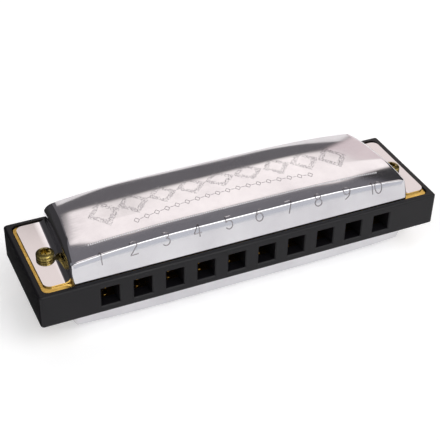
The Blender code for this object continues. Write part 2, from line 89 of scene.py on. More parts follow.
comb_low, comb_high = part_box("comb")
middle = (comb_low + comb_high) / 2
bolt_low, bolt_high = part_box("cover_screw_left")
right_low, right_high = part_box("cover_screw_right")
bolt_left_x = (bolt_low.x + bolt_high.x) / 2
bolt_right_x = (right_low.x + right_high.x) / 2
bolt_y = (bolt_low.y + bolt_high.y) / 2
row_x = (bolt_left_x + bolt_right_x) / 2
print("comb middle", [round(v / MM, 2) for v in middle], "row middle", round(row_x / MM, 2))


def hole_x(number):
    """Middle of a mouth hole, read from its blow reed."""
    low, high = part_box(f"blow_reed_{number:02d}")
    return (low.x + high.x) / 2


# %% Helpers that make a piece
def shown(name, mesh, finish):
    """Links an object for a mesh, with its finish in the first slot."""
    piece = bpy.data.objects.new(name, mesh)
    if finish:
        mesh.materials.clear()
        mesh.materials.append(finish)
    bpy.context.scene.collection.objects.link(piece)
    return piece


def shaded(mesh, angle):
    """Shades a mesh round, and keeps the edges sharp that turn by more than an angle in degrees."""
    mesh.shade_smooth()
    mesh.set_sharp_from_angle(angle=math.radians(angle))
    return mesh


def mesh_of(name, body, smooth=None):
    """Turns a bmesh into a mesh, shaded round if it is given an angle for its sharp edges."""
    mesh = bpy.data.meshes.new(name)
    body.to_mesh(mesh)
    body.free()
    return shaded(mesh, smooth) if smooth else mesh


def stood(piece, x, y, turn=0.0, axis="Z"):
    """Moves a piece that is drawn about the comb's middle plane to its place, turned about an axis."""
    piece.matrix_world = Matrix.Translation((x, y, middle.z)) @ Matrix.Rotation(turn, 4, axis)
    return piece


def placed(piece, stands_for):
    """Puts a piece on the fixed body, and hides the CAD nodes that it takes the place of."""
    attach(piece, BODY)
    if stands_for:
        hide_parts(*stands_for)
    print(piece.name, "faces", len(piece.data.polygons))
    return piece


def baked(piece):
    """Applies a piece's modifiers, so that its mesh is exactly what is seen."""
    graph = bpy.context.evaluated_depsgraph_get()
    mesh = bpy.data.meshes.new_from_object(piece.evaluated_get(graph))
    piece.modifiers.clear()
    piece.data = mesh
    return piece


# %% [markdown]
# ## Basic bodies
# Four kinds of body are enough for a harmonica: a flat slab with holes, a turned body, a loft through
# rings for punches and moulds, and a lattice of points skinned with quads for the pressed sheet.

# %% Slabs, turned bodies, lofts and lattices
def circle(x, y, radius, sides):
    angles = [2 * math.pi * step / sides for step in range(sides)]
    return [(x + radius * math.cos(a), y + radius * math.sin(a)) for a in angles]


def rectangle(x0, x1, y0, y1):
    return [(x0, y0), (x1, y0), (x1, y1), (x0, y1)]


def rounded_rectangle(half_x, half_y, radius, steps):
    points = []
    for turn, (sign_x, sign_y) in enumerate(((1, 1), (-1, 1), (-1, -1), (1, -1))):
        centre_x, centre_y = sign_x * (half_x - radius), sign_y * (half_y - radius)
        for step in range(steps + 1):
            angle = QUARTER * (turn + step / steps)
            points.append((centre_x + radius * math.cos(angle), centre_y + radius * math.sin(angle)))
    return points


def faced_out(body):
    bmesh.ops.recalc_face_normals(body, faces=body.faces[:])
    return body


def slab(outlines, low, high):
    """A flat body between two heights: the first outline is its edge, the others are holes."""
    body = bmesh.new()
    edges = []
    for outline in outlines:
        ring = [body.verts.new((x, y, low)) for x, y in outline]
        edges += [body.edges.new((ring[i - 1], ring[i])) for i in range(len(ring))]
    bmesh.ops.triangle_fill(body, edges=edges, use_beauty=True, normal=(0, 0, -1))
    top = bmesh.ops.extrude_face_region(body, geom=body.faces[:])["geom"]
    corners = [item for item in top if isinstance(item, bmesh.types.BMVert)]
    bmesh.ops.translate(body, verts=corners, vec=(0, 0, high - low))
    return faced_out(body)


def turned(profile, sides):
    """A body of revolution about Z from (radius, height) points that start and end on the axis."""
    body = bmesh.new()
    chain = [body.verts.new((radius, 0, height)) for radius, height in profile]
    edges = [body.edges.new(pair) for pair in zip(chain, chain[1:])]
    bmesh.ops.spin(body, geom=chain + edges, cent=(0, 0, 0), axis=(0, 0, 1),
                   angle=2 * math.pi, steps=sides, use_merge=True)
    bmesh.ops.remove_doubles(body, verts=body.verts[:], dist=MM / 200)
    return faced_out(body)


def loft(rings):
    """A closed body through rings of points, with a flat face at each end."""
    body = bmesh.new()
    loops = [[body.verts.new(point) for point in ring] for ring in rings]
    for near, far in zip(loops, loops[1:]):
        for i in range(len(near)):
            body.faces.new((near[i - 1], near[i], far[i], far[i - 1]))
    body.faces.new(loops[0])
    body.faces.new(loops[-1])
    return faced_out(body)


def merge_into(target, addition):
    carrier = bpy.data.meshes.new("carrier")
    addition.to_mesh(carrier)
    addition.free()
    target.from_mesh(carrier)
    bpy.data.meshes.remove(carrier)


def lattice(body, rows):
    """Skins a table of points with quads and returns its vertices in the same table."""
    table = [[point if isinstance(point, bmesh.types.BMVert) else body.verts.new(point) for point in row]
             for row in rows]
    for upper, lower in zip(table, table[1:]):
        for i in range(len(upper) - 1):
            body.faces.new((upper[i], lower[i], lower[i + 1], upper[i + 1]))
    return table


def cut_with(piece, cutters):
    """Takes closed cutter bodies out of a piece, one after the other, and keeps the result."""
    for cutter_body in cutters:
        cutter = shown("cutter", mesh_of("cutter", cutter_body), None)
        step = piece.modifiers.new("cut", "BOOLEAN")
        step.operation = "DIFFERENCE"
        step.solver = "EXACT"
        step.object = cutter
        baked(piece)
        bpy.data.objects.remove(cutter)
    return piece


# %% [markdown]
# ## The camera
# The camera stands in front of the low end, above the instrument, where a player would look down on the
# top cover. Its place is given from the comb's middle, so it follows the model.

# %% Camera
CAMERA_FROM_COMB = Vector((-88.842, -183.699, 152.918)) * MM
CAMERA_AZIMUTH = math.radians(-25.471)
CAMERA_ELEVATION = math.radians(36.656)
CAMERA_ROLL = math.radians(1.634)
CAMERA_LENS = 88.96                 # millimetres, on a sensor 36 mm wide

back_axis = Vector((math.sin(CAMERA_AZIMUTH) * math.cos(CAMERA_ELEVATION),
                    -math.cos(CAMERA_AZIMUTH) * math.cos(CAMERA_ELEVATION), math.sin(CAMERA_ELEVATION)))
level_axis = Vector((math.cos(CAMERA_AZIMUTH), math.sin(CAMERA_AZIMUTH), 0))
upright_axis = back_axis.cross(level_axis)
right_axis = math.cos(CAMERA_ROLL) * level_axis + math.sin(CAMERA_ROLL) * upright_axis
up_axis = -math.sin(CAMERA_ROLL) * level_axis + math.cos(CAMERA_ROLL) * upright_axis
lens_data = bpy.data.cameras.new("product_camera")
lens_data.lens = CAMERA_LENS
lens_data.sensor_width = 36.0
lens_data.clip_start = 0.01
lens_data.clip_end = 10.0
camera = bpy.data.objects.new("product_camera", lens_data)
bpy.context.scene.collection.objects.link(camera)
camera.matrix_world = Matrix((right_axis, up_axis, back_axis)).transposed().to_4x4()
camera.location = middle + CAMERA_FROM_COMB
bpy.context.scene.camera = camera
print("camera", [round(v, 4) for v in camera.location])

# %% [markdown]
# ## Colours and material nodes
# Colours are written as sRGB hex values, the way a paint or screen colour is quoted, and one function
# turns them to the linear values that a renderer adds up. One more function adds a node, with its
# settings and its links, and every material in this file is made of calls to it.

# %% Colour and node helpers
def linear(code):
    """Linear RGBA of an sRGB hex colour."""
    channels = [int(code[i:i + 2], 16) / 255 for i in (1, 3, 5)]
    return tuple(c / 12.92 if c <= 0.04045 else ((c + 0.055) / 1.055) ** 2.4 for c in channels) + (1.0,)


def add_node(tree, kind, settings=None, links=None, **properties):
    """Adds a node: properties are its own settings, the two tables go by socket name or number."""
    made = tree.nodes.new(kind)
    for name, value in properties.items():
        setattr(made, name, value)
    for key, value in (settings or {}).items():
        made.inputs[key].default_value = value
    for key, source in (links or {}).items():
        tree.links.new(source, made.inputs[key])
    return made


def noise(tree, place, pitch, detail, roughness=0.5):
    """A noise whose marks are about a pitch apart."""
    settings = {"Scale": 1 / pitch, "Detail": detail, "Roughness": roughness}
    return add_node(tree, "ShaderNodeTexNoise", settings, {"Vector": place}).outputs["Fac"]


def carried(tree, value, low, high, first, last, **properties):
    """A value carried from one range into another, and held at its ends."""
    made = add_node(tree, "ShaderNodeMapRange", {"From Min": low, "From Max": high, "To Min": first,
                                                 "To Max": last}, {"Value": value}, **properties)
    return made.outputs["Result"]


def combined(tree, operation, *values):
    """Runs values through Math nodes, two at a time; numbers are typed in and outputs are linked."""
    made = values[0]
    for value in values[1:]:
        step = add_node(tree, "ShaderNodeMath", operation=operation)
        for socket, item in zip(step.inputs, (made, value)):
            if isinstance(item, float):
                socket.default_value = item
            else:
                tree.links.new(item, socket)
        made = step.outputs["Value"]
    return made


def surfaced(tree, shader, colour, gloss, relief, strength, depth):
    """Links a colour, a roughness and a fine relief, whose marks are a depth high, to a shader."""
    tree.links.new(colour, shader.inputs["Base Color"])
    tree.links.new(gloss, shader.inputs["Roughness"])
    bump = add_node(tree, "ShaderNodeBump", {"Strength": strength, "Distance": depth}, {"Height": relief})
    tree.links.new(bump.outputs["Normal"], shader.inputs["Normal"])


def finish_of(name, colour, metallic, roughness):
    """A new material, its node tree, its shader with the plain values set, and the place on the piece."""
    made = bpy.data.materials.new(name)
    made.use_nodes = True
    tree = made.node_tree
    shader = tree.nodes["Principled BSDF"]
    shader.inputs["Base Color"].default_value = linear(colour)
    shader.inputs["Metallic"].default_value = metallic
    shader.inputs["Roughness"].default_value = roughness
    return made, tree, shader, add_node(tree, "ShaderNodeTexCoord").outputs["Object"]


def ramp_between(tree, factor, low, high, first, last):
    """A colour ramp from one hex colour to another between two values of its factor."""
    made = add_node(tree, "ShaderNodeValToRGB", links={"Fac": factor})
    made.color_ramp.elements[0].position = low
    made.color_ramp.elements[1].position = high
    made.color_ramp.elements[0].color = linear(first)
    made.color_ramp.elements[1].color = linear(last)
    return made.outputs["Color"]


# %% [markdown]
# ## Black ABS, moulded
# The comb is injection-moulded ABS in a spark-eroded mould, which leaves an even satin skin: near black,
# with a soft broad highlight and a grain of about a tenth of a millimetre. A slower variation of the
# gloss shows where the plastic flowed and where hands have rubbed it.

# %% Moulded ABS
def moulded_abs():
    made, tree, shader, place = finish_of("black_abs_moulded", "#161518", 0.0, 0.40)
    flow = noise(tree, place, 9 * MM, 4.0, 0.6)
    grain = noise(tree, place, 0.22 * MM, 2.0)
    colour = ramp_between(tree, flow, 0.3, 0.7, "#0F0E11", "#161518")
    surfaced(tree, shader, colour, carried(tree, flow, 0.3, 0.7, 0.34, 0.46), grain, 0.25, 0.006 * MM)
    shader.inputs["IOR"].default_value = 1.50
    shader.inputs["Specular IOR Level"].default_value = 0.20
    return made


black_abs = moulded_abs()
print("made", black_abs.name)

# %% [markdown]
# ## Stainless steel, pressed and polished
# The covers are 0.35 mm stainless sheet, pressed and then buffed on a wheel. Buffing leaves a mirror that
# is never quite perfect: a faint haze, a slow ripple from the press, and hair-fine lines along the
# length. The lines are drawn wider apart than real ones, about 0.3 mm, so that they show at all. The
# wheel can't reach right into the corners, so the flanges stay a little greyer than the roof.

# %% Polished steel
FLANGE_FROM = 42.0 * MM             # the duller flanges begin between these distances from the middle
FLANGE_FULLY = 43.2 * MM


def polished_sheet(name="stainless_polished", colour="#D3D2D5", worn="#C6C4C8", flange="#BDB8B9",
                   haze=(0.05, 0.11)):
    """Steel in two close tones, with a duller tone on the flanges and a least and most haze."""
    made, tree, shader, place = finish_of(name, colour, 1.0, haze[0])
    cloud = noise(tree, place, 14 * MM, 5.0, 0.62)
    stretched = add_node(tree, "ShaderNodeMapping", {"Scale": (0.04, 1.0, 1.0)}, {"Vector": place})
    lines = noise(tree, stretched.outputs["Vector"], 0.3 * MM, 3.0)
    across = add_node(tree, "ShaderNodeSeparateXYZ", links={"Vector": place}).outputs["X"]
    far_out = add_node(tree, "ShaderNodeMath", links={0: across}, operation="ABSOLUTE").outputs["Value"]
    tinted = add_node(tree, "ShaderNodeMix", data_type="RGBA")
    tinted.inputs["B"].default_value = linear(flange)
    tree.links.new(carried(tree, far_out, FLANGE_FROM, FLANGE_FULLY, 0.0, 1.0), tinted.inputs["Factor"])
    tree.links.new(ramp_between(tree, cloud, 0.35, 0.7, colour, worn), tinted.inputs["A"])
    gloss = carried(tree, combined(tree, "MULTIPLY", cloud, lines), 0.15, 0.4, *haze)
    surfaced(tree, shader, tinted.outputs["Result"], gloss, lines, 0.10, 0.001 * MM)
    return made


polished_steel = polished_sheet()
# The beads' copy of the steel is lighter than the cover's: a painted highlight, with a rougher haze.
bead_steel_painted_highlight = polished_sheet("stainless_painted_highlight_beads", "#ECEAEC", "#DEDCDF", "#ECEAEC", (0.28, 0.40))
# The copy for the stamped numbers and ornament is darker than the cover's steel: painted shade, with a
# little more haze.
marks_steel_painted_shade = polished_sheet("stainless_painted_shade_marks", "#A39FA1", "#8D898C", "#A39FA1", (0.12, 0.22))
print("made", polished_steel.name, bead_steel_painted_highlight.name, marks_steel_painted_shade.name)

# %% [markdown]
# ## Brass
# Reed plates are cut from rolled brass sheet: a warm gold with fine lines along the rolling direction.
# Reeds are milled thin and filed across to tune them, so their lines run the other way and their colour
# is paler. The rivets are turned wire, and the screws are aged brass plate, dark olive in its shadows.

# %% Rolled, filed and aged brass
def lined_brass(name, bright, dull, rough, along, pitch, depth):
    """Brass with fine lines: along is the stretch of the pattern in x, y and z, pitch its line width."""
    made, tree, shader, place = finish_of(name, bright, 1.0, rough[0])
    tarnish = noise(tree, place, 5 * MM, 6.0, 0.65)
    stretched = add_node(tree, "ShaderNodeMapping", {"Scale": along}, {"Vector": place})
    lines = noise(tree, stretched.outputs["Vector"], pitch, 3.0)
    both = combined(tree, "MULTIPLY", combined(tree, "ADD", tarnish, lines), 0.5)
    colour = ramp_between(tree, both, 0.38, 0.62, bright, dull)
    surfaced(tree, shader, colour, carried(tree, both, 0.35, 0.65, *rough), lines, 0.35, depth)
    return made


rolled_brass = lined_brass("brass_rolled", "#DAB763", "#B28E43", (0.22, 0.36), (0.05, 1, 1),
                           0.12 * MM, 0.004 * MM)
filed_brass = lined_brass("brass_filed", "#C9A45A", "#A98240", (0.20, 0.34), (1, 0.1, 1),
                          0.10 * MM, 0.004 * MM)
turned_brass = lined_brass("brass_turned", "#B98F45", "#8E6A30", (0.22, 0.36), (1, 1, 1),
                           0.15 * MM, 0.003 * MM)
aged_brass = lined_brass("brass_plated_aged", "#B5A15E", "#6F6338", (0.20, 0.34), (1, 1, 1),
                         0.45 * MM, 0.002 * MM)
print("made", rolled_brass.name, filed_brass.name, turned_brass.name, aged_brass.name)

# %% [markdown]
# ## The comb
# The comb is one moulding: a block with a recessed bed for each reed plate, ten air chambers, and ten
# mouth holes. Cutting simple bodies out of a rounded block gives crisp walls, as the mould's steel does.
# A mould never leaves a knife edge, so each mouth hole's cutter is flared where it meets the front face,
# which leaves a thin chamfer that catches the light.

# %% Comb sizes
RIM_RISE = 4.2 * MM
COMB_CORNER = 0.8 * MM
BED_CORNER = 1.5 * MM
COMB_CHAMFER = 0.35 * MM             # along the top and bottom edges
COMB_EASE = 0.06 * MM               # how far the chamfer's own edges are rounded
RIM_END = 1.35 * MM
RIM_SIDE = 1.2 * MM
BED_HALF = ((comb_high.x - comb_low.x) / 2 - RIM_END, (comb_high.y - comb_low.y) / 2 - RIM_SIDE)
BED_RISE = 2.80 * MM
MOUTH_HALF = 2.1 * MM
MOUTH_HALF_HEIGHT = 2.4 * MM
MOUTH_LIP = 0.24 * MM
MOUTH_SPARE = 0.3 * MM              # how far a mouth's cutter stands out of the face
MOUTH_REACH = 1.0 * MM              # and how far it runs on into the chamber
BORE_PLAY = 0.1 * MM
CHAMBER_HALF = 2.2 * MM
CHAMBER_FRONT = -11.0 * MM
REED_ROOT = -8.0 * MM
CHAMBER_SPARE = 1.6 * MM
BOLT_RADIUS = 1.1 * MM
SCREW_RADIUS = 0.8 * MM


def reed_length(number):
    """Free length of a reed: its tip is its node's far end, and its root is where the pad ends."""
    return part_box(f"blow_reed_{number:02d}")[1].y - REED_ROOT


def comb_block():
    """A block with rounded upright corners and a small eased chamfer round the top and the bottom."""
    half_x, half_y = (comb_high.x - comb_low.x) / 2, (comb_high.y - comb_low.y) / 2
    body = slab([rounded_rectangle(half_x, half_y, COMB_CORNER, 8)], -RIM_RISE, RIM_RISE)
    flat = [edge for edge in body.edges
            if len({round(vert.co.z, 6) for vert in edge.verts}) == 1 and edge.calc_face_angle(0) > 1]
    bmesh.ops.bevel(body, geom=flat, offset=COMB_CHAMFER, segments=1, affect="EDGES")
    flat = [edge for edge in body.edges
            if abs(edge.verts[0].co.z - edge.verts[1].co.z) < COMB_EASE and edge.calc_face_angle(0) > 0.5]
    bmesh.ops.bevel(body, geom=flat, offset=COMB_EASE, segments=1, affect="EDGES")
    return body


def mouth_cutter(x):
    """A square tunnel from the front face to the chamber, flared at the face."""
    rings = []
    for y, grow in ((comb_low.y - MOUTH_SPARE, MOUTH_SPARE + MOUTH_LIP), (comb_low.y + MOUTH_LIP, 0.0),
                    (CHAMBER_FRONT + MOUTH_REACH, 0.0)):
        across, tall = MOUTH_HALF + grow, MOUTH_HALF_HEIGHT + grow
        rings.append([(x + sx * across, y, sz * tall) for sx, sz in ((-1, -1), (1, -1), (1, 1), (-1, 1))])
    return loft(rings)


def plate_screw_places():
    """Centres of the plate screws, read from their nodes."""
    places = []
    for number in range(1, 6):
        low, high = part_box(f"plate_screw_{number}")
        places.append(((low.x + high.x) / 2, (low.y + high.y) / 2))
    return places


# %% Cut the comb
def comb_piece():
    comb = shown("comb_moulding", mesh_of("comb_moulding", comb_block()), black_abs)
    outline = rounded_rectangle(*BED_HALF, BED_CORNER, 6)
    beds = slab([outline], BED_RISE, 3 * RIM_RISE)
    merge_into(beds, slab([outline], -3 * RIM_RISE, -BED_RISE))
    chambers, mouths, bores = bmesh.new(), bmesh.new(), bmesh.new()
    for number in range(1, HOLES + 1):
        x = hole_x(number)
        back = REED_ROOT + reed_length(number) + CHAMBER_SPARE
        merge_into(chambers, slab([rectangle(x - CHAMBER_HALF, x + CHAMBER_HALF, CHAMBER_FRONT, back)],
                                  -RIM_RISE, RIM_RISE))
        merge_into(mouths, mouth_cutter(x))
    round_bores = [(x, bolt_y, BOLT_RADIUS) for x in (bolt_left_x, bolt_right_x)]
    round_bores += [(x, y, SCREW_RADIUS) for x, y in plate_screw_places()]
    for x, y, radius in round_bores:
        merge_into(bores, slab([circle(x, y, radius + BORE_PLAY, 24)], -2 * RIM_RISE, 2 * RIM_RISE))
    cut_with(comb, (beds, chambers, mouths, bores))
    stood(comb, 0, 0)
    shaded(comb.data, 20)
    comb.modifiers.new("even_shading", "WEIGHTED_NORMAL").keep_sharp = True
    return baked(comb)


comb = placed(comb_piece(), ["comb"])

# %% [markdown]
# ## The pressed covers
# A cover starts as flat sheet and is pressed into one continuous skin: an arched roof, a rounded shoulder
# down to each side wall, a leaning front that the lips slide along, a rolled hem at the open back, and a
# flat flange at each end for its bolt. A mirror shows every ripple of its surface, so the skin is made
# from formulas on a fine lattice rather than by hand, and the roof blends without any corner.

# %% Cover sizes, from the middle of the cover and the comb's middle plane
CROWN = (cad_high.z - middle.z) - 0.07 * MM   # the stamped ornament needs the last seven hundredths
SHEET = 0.35 * MM
BREAK_Y = -10.2 * MM
ROLL_Y = 11.3 * MM
BACK_Y = 12.35 * MM
HALF_FRONT = 41.4 * MM
HALF_BACK = 40.2 * MM
CORNER = 0.6 * MM
SHOULDER_BACK = 2.9 * MM            # the rounded side edge tightens towards the front
SHOULDER_FRONT = 1.3 * MM
BREAK = 0.5 * MM
FILLET = 1.4 * MM
FLAT_HALF = 12.0 * MM
FLAT_FRONT_Y = -2.0 * MM
FLAT_BACK_Y = 4.0 * MM
SIDE_FALL = 1.0 * MM                # the roof's fall to its side edges at the front
SIDE_FALL_MORE = 0.5                # and the share by which that grows towards the back
FRONT_FALL = 1.25 * MM
BACK_FALL = 0.65 * MM
HEM = 1.0 * MM
HEM_START = math.radians(10)        # the roof's own slope where the hem begins
HEM_LIP = 0.25 * MM
FLANGE_HALF = 47.2 * MM
FLANGE_FRONT_Y = -10.8 * MM
FLANGE_BACK_Y = 12.0 * MM
FLANGE_CORNER = 1.6 * MM
BASE_RISE = 3.8 * MM
FLANGE_RISE = BASE_RISE + SHEET
FOOT_RISE = FLANGE_RISE + FILLET
SHEET_EDGE_RISE = 0.15 * MM
SIDE_SLOPE = math.radians(7)
FRONT_SLOPE = math.radians(13.2)
FACE_LEAN = math.radians(71.7)      # the front face's slope, a little off upright
FACE_BULGE = 0.055 * MM             # and how far it is sprung out in its middle


def eased(past, reach, power, ease):
    """How far past a line, as a share of its reach: eased in, so that the surface has no crease."""
    past = max(past, 0.0)
    return (past ** 2 / (past + ease) * (reach + ease) / reach ** 2) ** power


def roof_height(x, y):
    """Height of the roof above the middle plane, at a point measured from the cover's middle."""
    depth = (y - BREAK_Y) / (ROLL_Y - BREAK_Y)
    side = eased(abs(x) - FLAT_HALF, HALF_BACK - SHOULDER_FRONT - FLAT_HALF, 2.3, 1.5 * MM)
    front = eased(FLAT_FRONT_Y - y, FLAT_FRONT_Y - BREAK_Y, 1.5, 1.0 * MM)
    back = eased(y - FLAT_BACK_Y, ROLL_Y - FLAT_BACK_Y, 1.8, 0.5 * MM)
    return CROWN - SIDE_FALL * (1 + SIDE_FALL_MORE * depth) * side - FRONT_FALL * front - BACK_FALL * back


def forward_shift(x):
    """How far forward the front bend lies: the face is one plane, so the bend moves as the roof falls."""
    shift = 0.0
    for _ in range(4):
        shift = (roof_height(0, BREAK_Y) - roof_height(x, BREAK_Y - shift)) / math.tan(FACE_LEAN)
    return shift


BEND_END = FACE_LEAN - math.radians(3.2)    # the bend hands over to the sprung face at this slope
BEND_REACH = BREAK * (math.sin(BEND_END) - math.sin(FRONT_SLOPE))
BEND_DROP = BREAK * (math.cos(FRONT_SLOPE) - math.cos(BEND_END))
FACE_TOP_RISE = roof_height(0, BREAK_Y) - BEND_DROP
FRONT_FOOT_Y = BREAK_Y - BEND_REACH - (FACE_TOP_RISE - FOOT_RISE) / math.tan(FACE_LEAN)
FACE_BASE_Y = FRONT_FOOT_Y - (FOOT_RISE - BASE_RISE - SHEET_EDGE_RISE) / math.tan(FACE_LEAN)
print("front face from", round((BREAK_Y - BEND_REACH) / MM, 2), "to", round(FACE_BASE_Y / MM, 2), "mm")


# %% [markdown]
# The skin is a stack of U-shaped rings: down one side, round the front, and back up the other side. Each
# ring has the same number of points. The upper rings turn through the shoulder from the roof's own slope,
# so light runs over the edge without a break, and the lower ones run down the walls.

# %% Rings of the cover
SHOULDER_STEPS = 10
WALL_STEPS = 8
ARC_STEPS = 12
FRONT_SPANS = 110
SIDE_SPANS = 26
FOLD_STEPS = 8                      # steps round each of the sheet's small folds and the flange's corners


def side_shares():
    """Places of the points down a side, as shares of the way from the back to the front corner's arc."""
    angles = [QUARTER * step / FOLD_STEPS for step in range(FOLD_STEPS + 1)]
    corner = [FLANGE_CORNER * (1 - math.cos(angle)) for angle in angles]
    rows = [BACK_Y] + [FLANGE_BACK_Y - inset for inset in corner]
    front = [FLANGE_FRONT_Y + inset for inset in reversed(corner)]
    rows += [rows[-1] + (front[0] - rows[-1]) * step / SIDE_SPANS for step in range(1, SIDE_SPANS)]
    rows += front
    arc_y = FRONT_FOOT_Y + CORNER
    return [(BACK_Y - y) / (BACK_Y - arc_y) for y in rows]


SIDE_SHARES = side_shares()
FLANGE_ROWS = len(SIDE_SHARES)


def ring(level):
    """Low end's half of a ring, as (x, y, drop from the roof's edge), from the back to the middle."""
    turn = min(level / SHOULDER_STEPS, 1)
    side_angle = SIDE_SLOPE + (QUARTER - SIDE_SLOPE) * turn
    face_angle = FRONT_SLOPE + (BEND_END - FRONT_SLOPE) * turn
    on_wall = max(0, level - SHOULDER_STEPS) / WALL_STEPS
    edge_y = BREAK_Y - BREAK * (math.sin(face_angle) - math.sin(FRONT_SLOPE))
    edge_y += (FRONT_FOOT_Y - edge_y) * on_wall
    bulge = 4 * FACE_BULGE * on_wall * (1 - on_wall)
    arc_y = edge_y + CORNER
    back_y = ROLL_Y + (BACK_Y - ROLL_Y) * turn
    points = []
    for share in SIDE_SHARES + [1]:
        radius = SHOULDER_BACK + (SHOULDER_FRONT - SHOULDER_BACK) * share
        half = HALF_BACK + (HALF_FRONT - HALF_BACK) * share - radius * (1 - math.sin(side_angle))
        drop = radius * (math.cos(SIDE_SLOPE) - math.cos(side_angle))
        points.append((-half, back_y + (arc_y - back_y) * share, drop))
    points.pop()
    front_drop = BREAK * (math.cos(FRONT_SLOPE) - math.cos(face_angle))
    for step in range(ARC_STEPS + 1):
        share = step / ARC_STEPS
        x = -(half - CORNER) - CORNER * math.cos(QUARTER * share)
        y = arc_y - CORNER * math.sin(QUARTER * share)
        y -= (forward_shift(x) * (1 - on_wall) + bulge) * share
        points.append((x, y, drop + (front_drop - drop) * share))
    for span in range(1, FRONT_SPANS // 2 + 1):
        x = -(half - CORNER) * (1 - 2 * span / FRONT_SPANS)
        points.append((x, edge_y - forward_shift(x) * (1 - on_wall) - bulge, front_drop))
    return points


def cover_rings():
    """All rings as rows of points, x from the cover's middle and z from the middle plane."""
    tops = [roof_height(x, y) for x, y, _ in ring(0)]
    rows = []
    for level in range(SHOULDER_STEPS + WALL_STEPS + 1):
        on_wall = max(0, level - SHOULDER_STEPS) / WALL_STEPS
        left = []
        for (x, y, drop), top in zip(ring(level), tops):
            left.append((x, y, top - drop + (FOOT_RISE - top + drop) * on_wall))
        rows.append(left + [(-x, y, z) for x, y, z in reversed(left[:-1])])
    return rows


# %% Skin of a cover
ROW_BOW = 30                        # the roof's rows follow the bowed front edge only close to it


def roof_rows(edge, sides_count):
    """Rows of the roof between the two sides of its U-shaped edge, from the front to the back."""
    front = edge[sides_count:len(edge) - sides_count]
    columns = len(front) - 1
    rows = []
    for j in range(sides_count, -1, -1):
        left, right = edge[j], edge[len(edge) - 1 - j]
        nearness = j / sides_count
        row = [left]
        for i in range(1, columns):
            across = (front[i].co.x - front[0].co.x) / (front[-1].co.x - front[0].co.x)
            x = left.co.x + (right.co.x - left.co.x) * across
            y = left.co.y + (front[i].co.y - front[0].co.y) * nearness ** ROW_BOW
            row.append(front[i] if j == sides_count else (x, y, roof_height(x, y)))
        row.append(right)
        rows.append(row)
    return rows


def cover_skin():
    body = bmesh.new()
    walls = lattice(body, cover_rings())
    lowest = walls[-1]
    last = len(lowest) - FLANGE_ROWS
    roof = lattice(body, roof_rows(walls[0], FLANGE_ROWS + ARC_STEPS // 2))
    add_hem(body, roof[-1])
    add_foot(body, lowest[FLANGE_ROWS:last])
    add_flange(body, lowest[1:FLANGE_ROWS], -1)
    add_flange(body, lowest[last:-1], 1)
    return faced_out(body)


def add_hem(body, back_edge):
    """Rolls the roof's back edge over into a short lip, starting at the roof's own slope."""
    rows = [back_edge]
    for step in range(1, FOLD_STEPS + 1):
        angle = HEM_START + (QUARTER - HEM_START) * step / FOLD_STEPS
        out = HEM * (math.sin(angle) - math.sin(HEM_START))
        down = HEM * (math.cos(HEM_START) - math.cos(angle))
        rows.append([vert.co + Vector((0, out, -down)) for vert in back_edge])
    rows.append([point - Vector((0, 0, HEM_LIP)) for point in rows[-1]])
    lattice(body, rows)


def add_foot(body, lowest):
    """Carries the front face straight on, down to the reed plate."""
    foot = []
    for vert in lowest:
        on = min(1, (FRONT_FOOT_Y + CORNER - vert.co.y) / CORNER)
        foot.append(Vector((vert.co.x, vert.co.y + (FACE_BASE_Y - FRONT_FOOT_Y) * on,
                            BASE_RISE + SHEET_EDGE_RISE)))
    lattice(body, [lowest, foot])


def add_flange(body, wall_foot, sign):
    """Turns the side wall out through a fillet into the flat flange under the bolt's head."""
    rows = [wall_foot]
    for step in range(1, FOLD_STEPS + 1):
        angle = QUARTER * step / FOLD_STEPS
        out, down = FILLET * (1 - math.cos(angle)), FILLET * math.sin(angle)
        rows.append([vert.co + Vector((sign * out, 0, -down)) for vert in wall_foot])
    outer = []
    for vert in wall_foot:
        from_end = max(0.0, min(FLANGE_BACK_Y - vert.co.y, vert.co.y - FLANGE_FRONT_Y, FLANGE_CORNER))
        inset = FLANGE_CORNER - math.sqrt(FLANGE_CORNER ** 2 - (FLANGE_CORNER - from_end) ** 2)
        outer.append(Vector((sign * (FLANGE_HALF - inset), vert.co.y, FLANGE_RISE)))
    fold_end = rows[-1]
    for share in (0.25, 0.5, 0.75, 1.0):
        rows.append([near.lerp(far, share) for near, far in zip(fold_end, outer)])
    lattice(body, rows)


# %% Both covers
def cover_piece(name, turn):
    cover = shown(name, mesh_of(name, cover_skin(), smooth=40), polished_steel)
    sheet = cover.modifiers.new("sheet", "SOLIDIFY")
    sheet.thickness = SHEET
    sheet.offset = -1
    baked(cover)
    bores = bmesh.new()
    for x in (bolt_left_x - row_x, bolt_right_x - row_x):
        merge_into(bores, slab([circle(x, bolt_y, BOLT_RADIUS + BORE_PLAY, 32)], 0, FOOT_RISE))
    cut_with(cover, (bores,))
    shaded(cover.data, 40)
    return stood(cover, row_x, 0, turn, "Y")


upper_cover = placed(cover_piece("upper_cover_pressing", 0.0), ["upper_cover"])
lower_cover = placed(cover_piece("lower_cover_pressing", math.pi), ["lower_cover"])

# %% [markdown]
# ## Stamped hole numbers
# The numbers 1 to 10 are stamped as thin raised lines that lie across the bend between the roof and the
# front face. Each number is drawn flat, as strokes in millimetres, and then wrapped over the cover's own
# profile, so that the top of a figure lies on the roof and its foot lies on the face.

# %% Strokes of the figures
def arc(cx, cy, rx, ry, first, last, steps=14):
    """Points of an ellipse's arc between two angles in degrees."""
    angles = [math.radians(first + (last - first) * step / steps) for step in range(steps + 1)]
    return [(cx + rx * math.cos(a), cy + ry * math.sin(a)) for a in angles]


